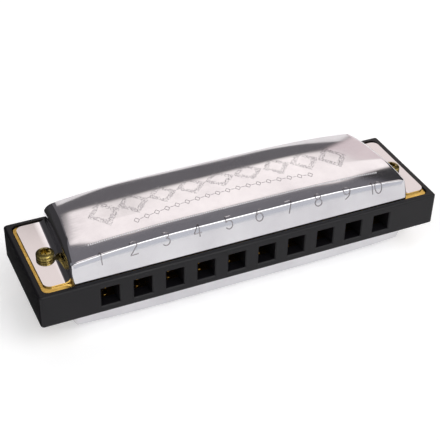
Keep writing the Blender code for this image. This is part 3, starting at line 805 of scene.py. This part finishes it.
FIGURES = {
    "1": [[(-0.13, 0.80), (0.04, 1.0), (0.04, 0.0)]],
    "2": [arc(0, 0.73, 0.27, 0.27, 165, -35) + [(-0.28, 0.0), (0.30, 0.0)]],
    "3": [arc(0, 0.76, 0.23, 0.24, 150, -90), arc(0, 0.26, 0.28, 0.26, 90, -150)],
    "4": [[(0.12, 0.0), (0.12, 1.0), (-0.30, 0.28), (0.30, 0.28)]],
    "5": [[(0.24, 1.0), (-0.19, 1.0), (-0.23, 0.54)] + arc(0, 0.32, 0.28, 0.32, 125, -145)],
    "6": [arc(0, 0.30, 0.28, 0.30, 0, 360, 24), arc(0.40, 0.34, 0.68, 0.66, 108, 180)],
    "7": [[(-0.27, 1.0), (0.27, 1.0), (-0.04, 0.0)]],
    "8": [arc(0, 0.76, 0.22, 0.24, 0, 360, 22), arc(0, 0.26, 0.28, 0.26, 0, 360, 24)],
    "9": [arc(0, 0.70, 0.28, 0.30, 0, 360, 24), arc(-0.40, 0.66, 0.68, 0.66, 0, -72)],
    "0": [arc(0, 0.50, 0.29, 0.50, 0, 360, 30)],
}
FIGURE_HEIGHT = 3.1 * MM
FIGURE_ABOVE = 0.85 * MM            # this much of a figure lies on the roof
FIGURE_SHIFT = -0.9 * MM            # the figures are stamped a little towards the low end of their holes
FIGURE_WIDTH = 0.56                 # from figure to figure in a number, as a share of their height
STROKE = 0.13 * MM
STEP_BETWEEN = 0.12 * MM


def front_profile(x):
    """The cover's profile at x as (y, z) points, from the roof over the bend, and where the bend is."""
    bend_y = BREAK_Y - forward_shift(x)
    on_roof = [bend_y + step * MM / 5 for step in range(16, -1, -1)]
    points = [(y, roof_height(x, y)) for y in on_roof]
    bend = len(points) - 1
    top = points[-1][1]
    for step in range(1, SHOULDER_STEPS + 1):
        angle = FRONT_SLOPE + (BEND_END - FRONT_SLOPE) * step / SHOULDER_STEPS
        points.append((bend_y - BREAK * (math.sin(angle) - math.sin(FRONT_SLOPE)),
                       top - BREAK * (math.cos(FRONT_SLOPE) - math.cos(angle))))
    edge_y, edge_z = points[-1]
    for step in range(1, WALL_STEPS + 1):
        down = step / WALL_STEPS
        points.append((edge_y + (FRONT_FOOT_Y - edge_y) * down - 4 * FACE_BULGE * down * (1 - down),
                       edge_z + (FOOT_RISE - edge_z) * down))
    points.append((FACE_BASE_Y, BASE_RISE))
    return points, bend + SHOULDER_STEPS // 2


def wrapped(x, height):
    """A point of the skin: height is measured along the sheet, up from the middle of the bend."""
    points, bend = front_profile(x)
    lengths = [0.0]
    for near, far in zip(points, points[1:]):
        lengths.append(lengths[-1] + math.dist(near, far))
    wanted = lengths[bend] - height
    for i in range(len(points) - 1):
        if lengths[i + 1] >= wanted:
            share = (wanted - lengths[i]) / (lengths[i + 1] - lengths[i])
            y = points[i][0] + (points[i + 1][0] - points[i][0]) * share
            z = points[i][1] + (points[i + 1][1] - points[i][1]) * share
            return Vector((x, y, z))
    return Vector((x, *points[-1]))


def divided(stroke, gap):
    """The same stroke with points no further apart than the gap."""
    points = [stroke[0]]
    for near, far in zip(stroke, stroke[1:]):
        count = max(1, math.ceil(math.dist(near, far) / gap))
        points += [(near[0] + (far[0] - near[0]) * k / count, near[1] + (far[1] - near[1]) * k / count)
                   for k in range(1, count + 1)]
    return points


def ridges(name, strokes, radius):
    """Raised lines on a sheet: round ridges along 3-D strokes, half sunk into it."""
    curve = bpy.data.curves.new(name, "CURVE")
    curve.dimensions = "3D"
    curve.bevel_depth = radius
    curve.bevel_resolution = 2
    curve.use_fill_caps = True
    for stroke in strokes:
        spline = curve.splines.new("POLY")
        spline.points.add(len(stroke) - 1)
        for point, place in zip(spline.points, stroke):
            point.co = (*place, 1.0)
    source = bpy.data.objects.new(name, curve)
    bpy.context.scene.collection.objects.link(source)
    graph = bpy.context.evaluated_depsgraph_get()
    mesh = bpy.data.meshes.new_from_object(source.evaluated_get(graph))
    bpy.data.objects.remove(source)
    mesh.shade_smooth()
    return mesh


def on_cover(name, mesh, finish, turn=0.0):
    """Puts a mesh that is drawn about a cover's middle on to the upper or the lower cover."""
    return placed(stood(shown(name, mesh, finish), row_x, 0, turn, "Y"), None)


# %% Stamp the numbers
def number_strokes():
    strokes = []
    for number in range(1, HOLES + 1):
        text = str(number)
        for place, figure in enumerate(text):
            shift = (place - (len(text) - 1) / 2) * FIGURE_WIDTH
            for stroke in FIGURES[figure]:
                flat = [((u + shift) * FIGURE_HEIGHT, v * FIGURE_HEIGHT) for u, v in stroke]
                base = hole_x(number) - row_x + FIGURE_SHIFT
                strokes.append([wrapped(base + u, v - FIGURE_HEIGHT + FIGURE_ABOVE)
                                for u, v in divided(flat, STEP_BETWEEN)])
    return strokes


# The numbers use the darker copy of the steel, painted shade on their raised lines.
on_cover("hole_numbers", ridges("hole_numbers", number_strokes(), STROKE), marks_steel_painted_shade)

# %% [markdown]
# ## Beaded line and stippled ornament
# A row of small beads runs along the front of the roof, and the roof carries a shallow stamped ornament.
# It is a band of open diamonds made of tiny punched dots, with a chain of thin-line diamonds in front of
# it, joined by short bars: plain decoration that says nothing. The dots are placed by a seeded random
# generator, so that the stippling is uneven, as on the real sheet, and yet the same on every run.

# %% Dots on the roof
BEAD_Y = -7.2 * MM
BEAD_PITCH = 0.52 * MM
BEAD_ENDS = (-36.1 * MM, 35.0 * MM)
BEAD_RADIUS = 0.21 * MM
BEAD_HEIGHT = 0.24 * MM
DOME_RINGS = ((1.0, -0.3), (0.72, 0.62))    # a dome's rings: shares of its radius and of its height


def domes(name, places, radius, height, sides):
    """Low domes on the roof at (x, y) places, as one mesh."""
    body = bmesh.new()
    for x, y in places:
        rings = []
        for share, lift in DOME_RINGS:
            rings.append([body.verts.new((px, py, roof_height(px, py) + height * lift))
                          for px, py in circle(x, y, radius * share, sides)])
        top = body.verts.new((x, y, roof_height(x, y) + height))
        for i in range(sides):
            body.faces.new((rings[0][i - 1], rings[0][i], rings[1][i], rings[1][i - 1]))
            body.faces.new((rings[1][i - 1], rings[1][i], top))
    return mesh_of(name, body, smooth=80)


bead_count = round((BEAD_ENDS[1] - BEAD_ENDS[0]) / BEAD_PITCH)
bead_places = [(BEAD_ENDS[0] + BEAD_PITCH * i, BEAD_Y) for i in range(bead_count + 1)]
bead_mesh = domes("bead_line_upper", bead_places, BEAD_RADIUS, BEAD_HEIGHT, 8)
# The beads carry the lighter copy of the steel, a painted highlight.
on_cover("bead_line_upper", bead_mesh, bead_steel_painted_highlight)
on_cover("bead_line_lower", bead_mesh, bead_steel_painted_highlight, math.pi)


# %% Diamonds of punched dots
ORNAMENT_BACK_Y = 6.2 * MM
ORNAMENT_SHIFT = -0.8 * MM
ARCH_ENDS_Y = -4.6 * MM
ARCH_RISE = 4.4 * MM
ARCH_HALF = 33 * MM
DIAMONDS = 9
DIAMOND_PITCH = 7.2 * MM
DIAMOND_HALF = 0.52 * DIAMOND_PITCH
DIAMOND_RING = (0.56, 1.0)          # inner and outer edge of the dotted part, as shares of a diamond
DOT_RADIUS = 0.10 * MM
DOT_HEIGHT = 0.055 * MM
DOT_GAP = 0.27 * MM
DOT_SHARE = 0.72                    # this share of the dots is punched
DOT_SCATTER = 0.3                   # and strays by up to this share of the gap


def arch(x):
    """Front line of the ornament: nearest the mouth at the ends, drawn back in the middle."""
    return ARCH_ENDS_Y + ARCH_RISE * (1 - (x / ARCH_HALF) ** 2)


def diamond_dots():
    rng = random.Random(7)
    places = []
    for index in range(DIAMONDS):
        centre_x = (index - (DIAMONDS - 1) / 2) * DIAMOND_PITCH + ORNAMENT_SHIFT
        half_y = (ORNAMENT_BACK_Y - arch(centre_x)) / 2
        centre_y = ORNAMENT_BACK_Y - half_y
        columns, rows = round(DIAMOND_HALF / DOT_GAP), round(half_y / DOT_GAP)
        for i in range(-columns, columns + 1):
            for j in range(-rows, rows + 1):
                u, v = i / columns, j / rows
                on_ring = DIAMOND_RING[0] < abs(u) + abs(v) < DIAMOND_RING[1]
                if on_ring and rng.random() < DOT_SHARE:
                    stray_x = rng.uniform(-DOT_SCATTER, DOT_SCATTER) * DOT_GAP
                    stray_y = rng.uniform(-DOT_SCATTER, DOT_SCATTER) * DOT_GAP
                    places.append((centre_x + u * DIAMOND_HALF + stray_x,
                                   centre_y + v * half_y + stray_y))
    return places


# The dots use the darker copy of the steel, painted shade.
on_cover("stippled_ornament", domes("stippled_ornament", diamond_dots(), DOT_RADIUS, DOT_HEIGHT, 6),
         marks_steel_painted_shade)


# %% Chain of thin-line diamonds
CHAIN_LINKS = 18
CHAIN_PITCH = 2.55 * MM
CHAIN_SHIFT = -2.2 * MM
CHAIN_AHEAD = 1.75 * MM             # how far the chain lies in front of the diamonds
LINK_HALF_X = 0.62 * MM
LINK_HALF_Y = 0.78 * MM
BAR_GAP = 0.25 * MM
CHAIN_LINE = 0.055 * MM
CHAIN_STEP = 0.3 * MM


def chain_strokes():
    strokes = []
    for index in range(CHAIN_LINKS):
        x = (index - (CHAIN_LINKS - 1) / 2) * CHAIN_PITCH + CHAIN_SHIFT
        y = arch(x) - CHAIN_AHEAD
        flats = [[(x - LINK_HALF_X, y), (x, y + LINK_HALF_Y), (x + LINK_HALF_X, y), (x, y - LINK_HALF_Y),
                  (x - LINK_HALF_X, y)]]
        if index < CHAIN_LINKS - 1:
            climb = arch(x + CHAIN_PITCH / 2) - arch(x)
            flats.append([(x + LINK_HALF_X + BAR_GAP, y + 0.7 * climb),
                          (x + CHAIN_PITCH - LINK_HALF_X - BAR_GAP, y + 1.3 * climb)])
        for flat in flats:
            strokes.append([Vector((u, v, roof_height(u, v))) for u, v in divided(flat, CHAIN_STEP)])
    return strokes


# The chain uses the darker copy of the steel, painted shade.
on_cover("thin_line_ornament", ridges("thin_line_ornament", chain_strokes(), CHAIN_LINE), marks_steel_painted_shade)

# %% [markdown]
# ## Cover bolts and nuts
# One bolt through each flange clamps both covers, both plates and the comb. Its pan head is turned and
# then punched with a six-lobed recess, and the nut below is a hexagon whose corners are chamfered round.

# %% Bolt sizes
HEAD_RADIUS = 2.05 * MM
HEAD_HEIGHT = 1.5 * MM
HEAD_EDGE = 0.85 * MM               # height of the head's upright side
HEAD_GROOVE = 0.45 * MM             # height of the turned groove round it
LOBES = 6
GROOVE_HALF = 0.12 * MM
GROOVE_DEPTH = 0.14 * MM
HEAD_ROUNDING = 0.75                # under 1, this squares the head's dome
HEAD_BREAK = 0.1 * MM               # the broken edge round the head's seat
LOBE_OUT = 1.2 * MM
LOBE_IN = 0.78 * MM
LOBE_FLARE = 0.10 * MM
RECESS_DEPTH = 0.9 * MM
CLAMP_GAP = 0.05 * MM
SEAT_RISE = FLANGE_RISE + CLAMP_GAP
NUT_HEIGHT = 1.2 * MM
NUT_CHAMFER = 0.28 * MM
NUT_HALF = 2.0 * MM
TIP_LENGTH = 0.3 * MM


def lobed_cutter(low, high):
    """A punch shaped as a star of round lobes between two heights, wider at the top."""
    rings = []
    for height, grow in ((low, 0.0), (high, LOBE_FLARE)):
        outline = []
        for step in range(12 * LOBES):
            angle = 2 * math.pi * step / (12 * LOBES)
            radius = (LOBE_OUT + LOBE_IN) / 2 + (LOBE_OUT - LOBE_IN) / 2 * math.cos(LOBES * angle) + grow
            outline.append((radius * math.cos(angle), radius * math.sin(angle), height))
        rings.append(outline)
    return loft(rings)


def bolt_piece(name, x, turn):
    top = SEAT_RISE + HEAD_HEIGHT
    tip = -(SEAT_RISE + CLAMP_GAP + NUT_HEIGHT + TIP_LENGTH)
    groove = SEAT_RISE + HEAD_GROOVE
    profile = [(0, top)]
    for step in range(1, 13):
        angle = QUARTER * step / 12
        profile.append((HEAD_RADIUS * math.sin(angle) ** HEAD_ROUNDING,
                        top - (HEAD_HEIGHT - HEAD_EDGE) * (1 - math.cos(angle))))
    profile += [(HEAD_RADIUS, groove + GROOVE_HALF), (HEAD_RADIUS - GROOVE_DEPTH, groove),
                (HEAD_RADIUS, groove - GROOVE_HALF), (HEAD_RADIUS, SEAT_RISE + HEAD_BREAK),
                (HEAD_RADIUS - HEAD_BREAK, SEAT_RISE), (BOLT_RADIUS, SEAT_RISE),
                (BOLT_RADIUS, tip + TIP_LENGTH), (BOLT_RADIUS * 0.7, tip), (0, tip)]
    bolt = shown(name, mesh_of(name, turned(profile, 48)), aged_brass)
    cut_with(bolt, (lobed_cutter(top - RECESS_DEPTH, top + 0.2 * MM),))
    shaded(bolt.data, 38)
    return stood(bolt, x, bolt_y, turn)


def nut_piece(name, x, turn):
    """A hexagon whose corners a turned collar cuts off at both ends."""
    high = -SEAT_RISE
    low = high - NUT_HEIGHT
    corner = NUT_HALF / math.cos(math.pi / 6)
    body = slab([circle(0, 0, corner, 6), circle(0, 0, BOLT_RADIUS + CLAMP_GAP, 32)], low, high)
    nut = shown(name, mesh_of(name, body), aged_brass)
    near, clear, far = NUT_HALF * 0.97, corner * 1.02, 2 * corner
    collar = [(near, high + NUT_CHAMFER), (near, high), (clear, high - NUT_CHAMFER),
              (clear, low + NUT_CHAMFER), (near, low), (near, low - NUT_CHAMFER),
              (far, low - NUT_CHAMFER), (far, high + NUT_CHAMFER), (near, high + NUT_CHAMFER)]
    cut_with(nut, (turned(collar, 48),))
    return stood(nut, x, bolt_y, turn)


# %% Fit the bolts and nuts
for side, x, turn in (("left", bolt_left_x, 0.5), ("right", bolt_right_x, 1.1)):
    placed(bolt_piece(f"cover_bolt_{side}", x, turn), [f"cover_screw_{side}"])
    placed(nut_piece(f"hex_nut_{side}", x, math.pi / 6), [f"cover_nut_{side}"])

# %% [markdown]
# ## Rivets and plate screws
# Each reed is held by one rivet, formed from a brass pin: a low dome on the reed's side, and the pin's
# end spread flat on the far side. Five small slotted screws hold both plates to the comb. The rivet is
# turned once, and the same mesh is used at every place; each screw is turned on its own.

# %% Rivets
RIVET_SHANK = 0.5 * MM
RIVET_HEAD = 0.95 * MM
RIVET_DOME = 0.3 * MM
RIVET_TAIL = 0.7 * MM
RIVET_UNDER = -0.32 * MM            # the reed's face, measured from the plate's
RIVET_OVER = 0.95 * MM              # the plate's far face


def rivet_mesh():
    profile = [(0, RIVET_OVER + 0.18 * MM), (0.4 * MM, RIVET_OVER + 0.17 * MM),
               (0.62 * MM, RIVET_OVER + 0.1 * MM), (RIVET_TAIL, RIVET_OVER), (RIVET_SHANK, RIVET_OVER),
               (RIVET_SHANK, RIVET_UNDER), (RIVET_HEAD, RIVET_UNDER)]
    profile += [(RIVET_HEAD * math.cos(a), RIVET_UNDER - RIVET_DOME * math.sin(a))
                for a in (QUARTER * step / 5 for step in range(1, 5))]
    profile.append((0, RIVET_UNDER - RIVET_DOME))
    return mesh_of("reed_rivet", turned(profile, 24), smooth=40)


rivet_shape = rivet_mesh()
rivet_shape.materials.append(turned_brass)
for breath in ("blow", "draw"):
    for number in range(1, HOLES + 1):
        low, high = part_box(f"{breath}_rivet_{number:02d}")
        rivet = shown(f"{breath}_riveted_{number:02d}", rivet_shape, None)
        rivet.location = ((low.x + high.x) / 2, (low.y + high.y) / 2, low.z - RIVET_UNDER + RIVET_DOME)
        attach(rivet, BODY)
        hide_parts(f"{breath}_rivet_{number:02d}")
print("rivets", 2 * HOLES)


# %% Plate screws
PLATE_OUTER = 3.75 * MM
SLOT_HALF = 0.22 * MM
SLOT_DEPTH = 0.25 * MM


def plate_screw_piece(name, x, y, turn):
    seat = PLATE_OUTER + CLAMP_GAP
    top = seat + 0.45 * MM
    profile = [(0, top), (0.9 * MM, top - 0.03 * MM), (1.3 * MM, top - 0.14 * MM),
               (1.5 * MM, top - 0.32 * MM), (1.5 * MM, seat), (SCREW_RADIUS, seat),
               (SCREW_RADIUS, -PLATE_OUTER), (0, -PLATE_OUTER)]
    screw = shown(name, mesh_of(name, turned(profile, 36)), turned_brass)
    slot = slab([rectangle(-2 * MM, 2 * MM, -SLOT_HALF, SLOT_HALF)], top - SLOT_DEPTH, top + 1 * MM)
    cut_with(screw, (slot,))
    shaded(screw.data, 35)
    return stood(screw, x, y, turn)


for number, (x, y) in enumerate(plate_screw_places(), start=1):
    placed(plate_screw_piece(f"slotted_screw_{number}", x, y, 0.7 * number), [f"plate_screw_{number}"])

# %% [markdown]
# ## Reeds
# A reed is a thin brass tongue over a slot. Its wide root is riveted down and only the tongue moves, and
# it moves by bending, not on a pin. Each reed here is one still mesh, with many points along the edge of
# its tongue.

# %% Reeds
REED_HALF_THICK = 0.11 * MM
REED_WIDTH = 2.05 * MM
PAD_WIDTH = 2.9 * MM
PAD_LENGTH = 2.6 * MM
RIVET_BACK = -1.3 * MM
RIVET_HOLE = 0.55 * MM
REED_STEPS = 24


def reed_shape(length):
    """A reed about its root, with its tongue's sides divided into many points."""
    half, pad = REED_WIDTH / 2, PAD_WIDTH / 2
    first = half * 1.2
    side = [(half, first + (length - first) * step / REED_STEPS) for step in range(REED_STEPS + 1)]
    neck = [(pad, 0), (pad - 0.12 * MM, 0.5 * MM), (half + 0.08 * MM, 0.95 * MM)]
    right = [(pad, -PAD_LENGTH)] + neck + side
    outline = right + [(-x, y) for x, y in reversed(right)]
    hole = circle(0, RIVET_BACK, RIVET_HOLE, 16)
    return slab([outline, hole], -REED_HALF_THICK, REED_HALF_THICK)


def reed_piece(breath, number):
    low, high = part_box(f"{breath}_reed_{number:02d}")
    length = high.y - REED_ROOT
    body = reed_shape(length)
    place = Vector(((low.x + high.x) / 2, REED_ROOT, (low.z + high.z) / 2))
    bmesh.ops.translate(body, verts=body.verts[:], vec=place)
    name = f"{breath}_tongue_{number:02d}"
    reed = shown(name, mesh_of(name, body), filed_brass)
    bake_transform(reed)
    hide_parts(f"{breath}_reed_{number:02d}")
    return length


for number in range(1, HOLES + 1):
    free = [reed_piece(breath, number) for breath in ("blow", "draw")]
    print("reeds of hole", number, "free length", round(free[0] / MM, 2), "mm")

# %% [markdown]
# ## Reed plates
# The plates' shape in the CAD model is already the real one: a flat brass sheet with a slot and a rivet
# hole for every reed. They keep their nodes and get the rolled-brass finish.

# %% Finish the plates
for name in ("blow_reed_plate", "draw_reed_plate"):
    plate = bpy.data.objects[name]
    plate.data.materials.clear()
    plate.data.materials.append(rolled_brass)
    print(name, "is", rolled_brass.name)

# %% [markdown]
# ## The studio
# A mirror has no colour of its own, so a polished cover is drawn by what surrounds it. The studio is a
# dim room with large white cards: one behind on the right, which fills the flat of the roof; a tall one
# further right; cards in front; and a pale floor. Black cloth behind the low end keeps the side wall
# there dark. The room is a world shader, written as bearings and heights of the cards in degrees, and
# every card's edge is a soft step.

# %% Floor and flag
FLOOR_GLOW = 0.30                   # the floor is a sheet of paper on a light table


def matt_stage(name, body, finish, tones, spread, pitch):
    """A matt sheet of the studio in two close tones, which isn't part of the instrument."""
    piece = shown(name, mesh_of(name, body), None)
    made, tree, shader, place = finish_of(*finish, 0.0, 0.9)
    tree.links.new(ramp_between(tree, noise(tree, place, pitch, 3.0), *spread, *tones),
                   shader.inputs["Base Color"])
    piece.data.materials.append(made)
    return piece, shader


def floor_piece():
    body = bmesh.new()
    bmesh.ops.create_circle(body, cap_ends=True, radius=1.6, segments=96)
    shader = matt_stage("studio_floor", body, ("paper_matt", "#F6F6F6"), ("#F4F4F4", "#F8F8F8"),
                        (0.2, 0.8), 3 * MM)[1]
    shader.inputs["Emission Color"].default_value = (1, 1, 1, 1)
    shader.inputs["Emission Strength"].default_value = FLOOR_GLOW


def flag_piece():
    """Black cloth behind the low end, which only the polished surfaces see."""
    body = slab([rectangle(-1500 * MM, -50 * MM, -14 * MM, 1500 * MM)], 0.3 * MM, 0.6 * MM)
    flag = matt_stage("black_flag", body, ("velvet_black", "#1C1C1B"), ("#191918", "#232322"),
                      (0.3, 0.7), 2 * MM)[0]
    flag.visible_camera = False
    flag.visible_diffuse = False
    flag.visible_shadow = False
    flag.visible_transmission = False


floor_piece()
flag_piece()


# %% Cards of light round the room
def soft_step(tree, value, low, high):
    """0 below low and 1 above high, eased between; the edges are in degrees."""
    return carried(tree, value, low, high, 0.0, 1.0, interpolation_type="SMOOTHERSTEP")


def card(tree, bearing, height, left, right, low, high, edge):
    """1 inside a card, 0 outside: its left and right bearings, and its lower and upper heights."""
    past_right = soft_step(tree, bearing, right - edge, right + edge)
    past_top = soft_step(tree, height, high - edge, high + edge)
    return combined(tree, "MULTIPLY", soft_step(tree, bearing, left - edge, left + edge),
                    combined(tree, "SUBTRACT", 1.0, past_right),
                    soft_step(tree, height, low - edge, low + edge),
                    combined(tree, "SUBTRACT", 1.0, past_top))


world = bpy.data.worlds.new("studio_room")
world.use_nodes = True
bpy.context.scene.world = world
room = world.node_tree
room.nodes.clear()
toward = add_node(room, "ShaderNodeTexCoord").outputs["Generated"]
parts = add_node(room, "ShaderNodeSeparateXYZ", links={"Vector": toward})


def in_degrees(angle):
    return add_node(room, "ShaderNodeMath", links={0: angle}, operation="DEGREES").outputs["Value"]


bearing = in_degrees(combined(room, "ARCTAN2", parts.outputs["X"], parts.outputs["Y"]))
upward = add_node(room, "ShaderNodeMath", links={0: parts.outputs["Z"]}, operation="ARCSINE")
height = in_degrees(upward.outputs["Value"])


def tilted(*slopes):
    """The height, moved by slopes that each run between two bearings and stay level beyond them."""
    return combined(room, "ADD", height, *(carried(room, bearing, *slope) for slope in slopes))


# The back card's edges come down towards both sides, as straight edges do when seen from below.
raised = tilted((25, 50, 0, 10.0), (3, 13, 8, 0))
lifted = tilted((17, 60, 0, 20), (5, 13, 3.5, 0))
lowered = tilted((6, 13, -4, 0), (20, 34, 0, 1.5))
back_card = combined(room, "MULTIPLY", card(room, bearing, raised, 6.0, 49.5, -20, 59.4, 1.5),
                     soft_step(room, lifted, 32, 39))

CARDS = [
    # bearing and height to use, left, right, low, high, soft edge, colour, strength
    (bearing, height, 34, 48, -8, 40, 1.5, "#FBEBEB", 1.06),
    (bearing, lowered, 5.6, 34, -8, 17.7, 1.0, "#FFFBFA", 1.12),
    (bearing, height, 95, 185, 3, 80, 3.0, "#FFFFFF", 0.95),
    (bearing, height, -185, -95, 3, 80, 3.0, "#FFFFFF", 0.95),
    (bearing, height, 125, 185, 38, 56, 3.0, "#FFFFFF", 4.5),
    (bearing, height, 95, 185, -9, 10, 3.0, "#EEF1F8", 0.92),
    (bearing, height, -185, -95, -9, 10, 3.0, "#EEF1F8", 0.92),
    (bearing, height, -95, -48, 4, 50, 4.0, "#F4F8FF", 0.30),
    (bearing, height, -200, 200, 46, 95, 3.0, "#87858A", 1.00),
    (bearing, height, -6, 40, 10, 42, 3.0, "#787578", 1.00),
]
BACKDROP = 0.93
BACK_CARD_LIGHT = [c * 1.47 for c in linear("#FFF7F4")[:3]]
DIM_ROOM = "#474648"
total = add_node(room, "ShaderNodeVectorMath", {0: BACK_CARD_LIGHT}, operation="SCALE")
room.links.new(back_card, total.inputs["Scale"])
total = total.outputs[0]
for across, tall, left, right, low, high, edge, colour, strength in CARDS:
    inside = card(room, across, tall, left, right, low, high, edge)
    lit = add_node(room, "ShaderNodeVectorMath", {0: [c * strength for c in linear(colour)[:3]]},
                   operation="SCALE")
    room.links.new(inside, lit.inputs["Scale"])
    total = add_node(room, "ShaderNodeVectorMath", links={0: total, 1: lit.outputs[0]},
                     operation="MAXIMUM").outputs[0]
dim = add_node(room, "ShaderNodeVectorMath", {1: linear(DIM_ROOM)[:3]}, {0: total}, operation="MAXIMUM")
seen = add_node(room, "ShaderNodeLightPath").outputs["Is Camera Ray"]
surface = add_node(room, "ShaderNodeBackground", {"Strength": 1.0}, {"Color": dim.outputs[0]})
backdrop = add_node(room, "ShaderNodeBackground", {"Color": (1, 1, 1, 1), "Strength": BACKDROP})
chosen = add_node(room, "ShaderNodeMixShader",
                  links={0: seen, 1: surface.outputs[0], 2: backdrop.outputs[0]})
add_node(room, "ShaderNodeOutputWorld", links={"Surface": chosen.outputs[0]})
print("cards", len(CARDS) + 1)


# %% Soft lamps
def soft_lamp(name, place, aim, size, power):
    """A large square lamp that lights matt surfaces but doesn't show in the polished ones."""
    data = bpy.data.lights.new(name, "AREA")
    data.shape = "SQUARE"
    data.size = size
    data.energy = power
    lamp = bpy.data.objects.new(name, data)
    lamp.location = place
    lamp.rotation_mode = "QUATERNION"
    lamp.rotation_quaternion = (Vector(place) - Vector(aim)).to_track_quat("Z", "Y")
    lamp.visible_glossy = False
    bpy.context.scene.collection.objects.link(lamp)
    return lamp


soft_lamp("overhead_lamp", (0.0, 0.1, 1.0), (0, 0, 0), 1.2, 1.2)
soft_lamp("left_lamp", (-0.8, -0.4, 0.5), (0, 0, 0.01), 0.5, 0.2)

bpy.context.scene.view_settings.view_transform = "Standard"
bpy.context.scene.view_settings.look = "None"
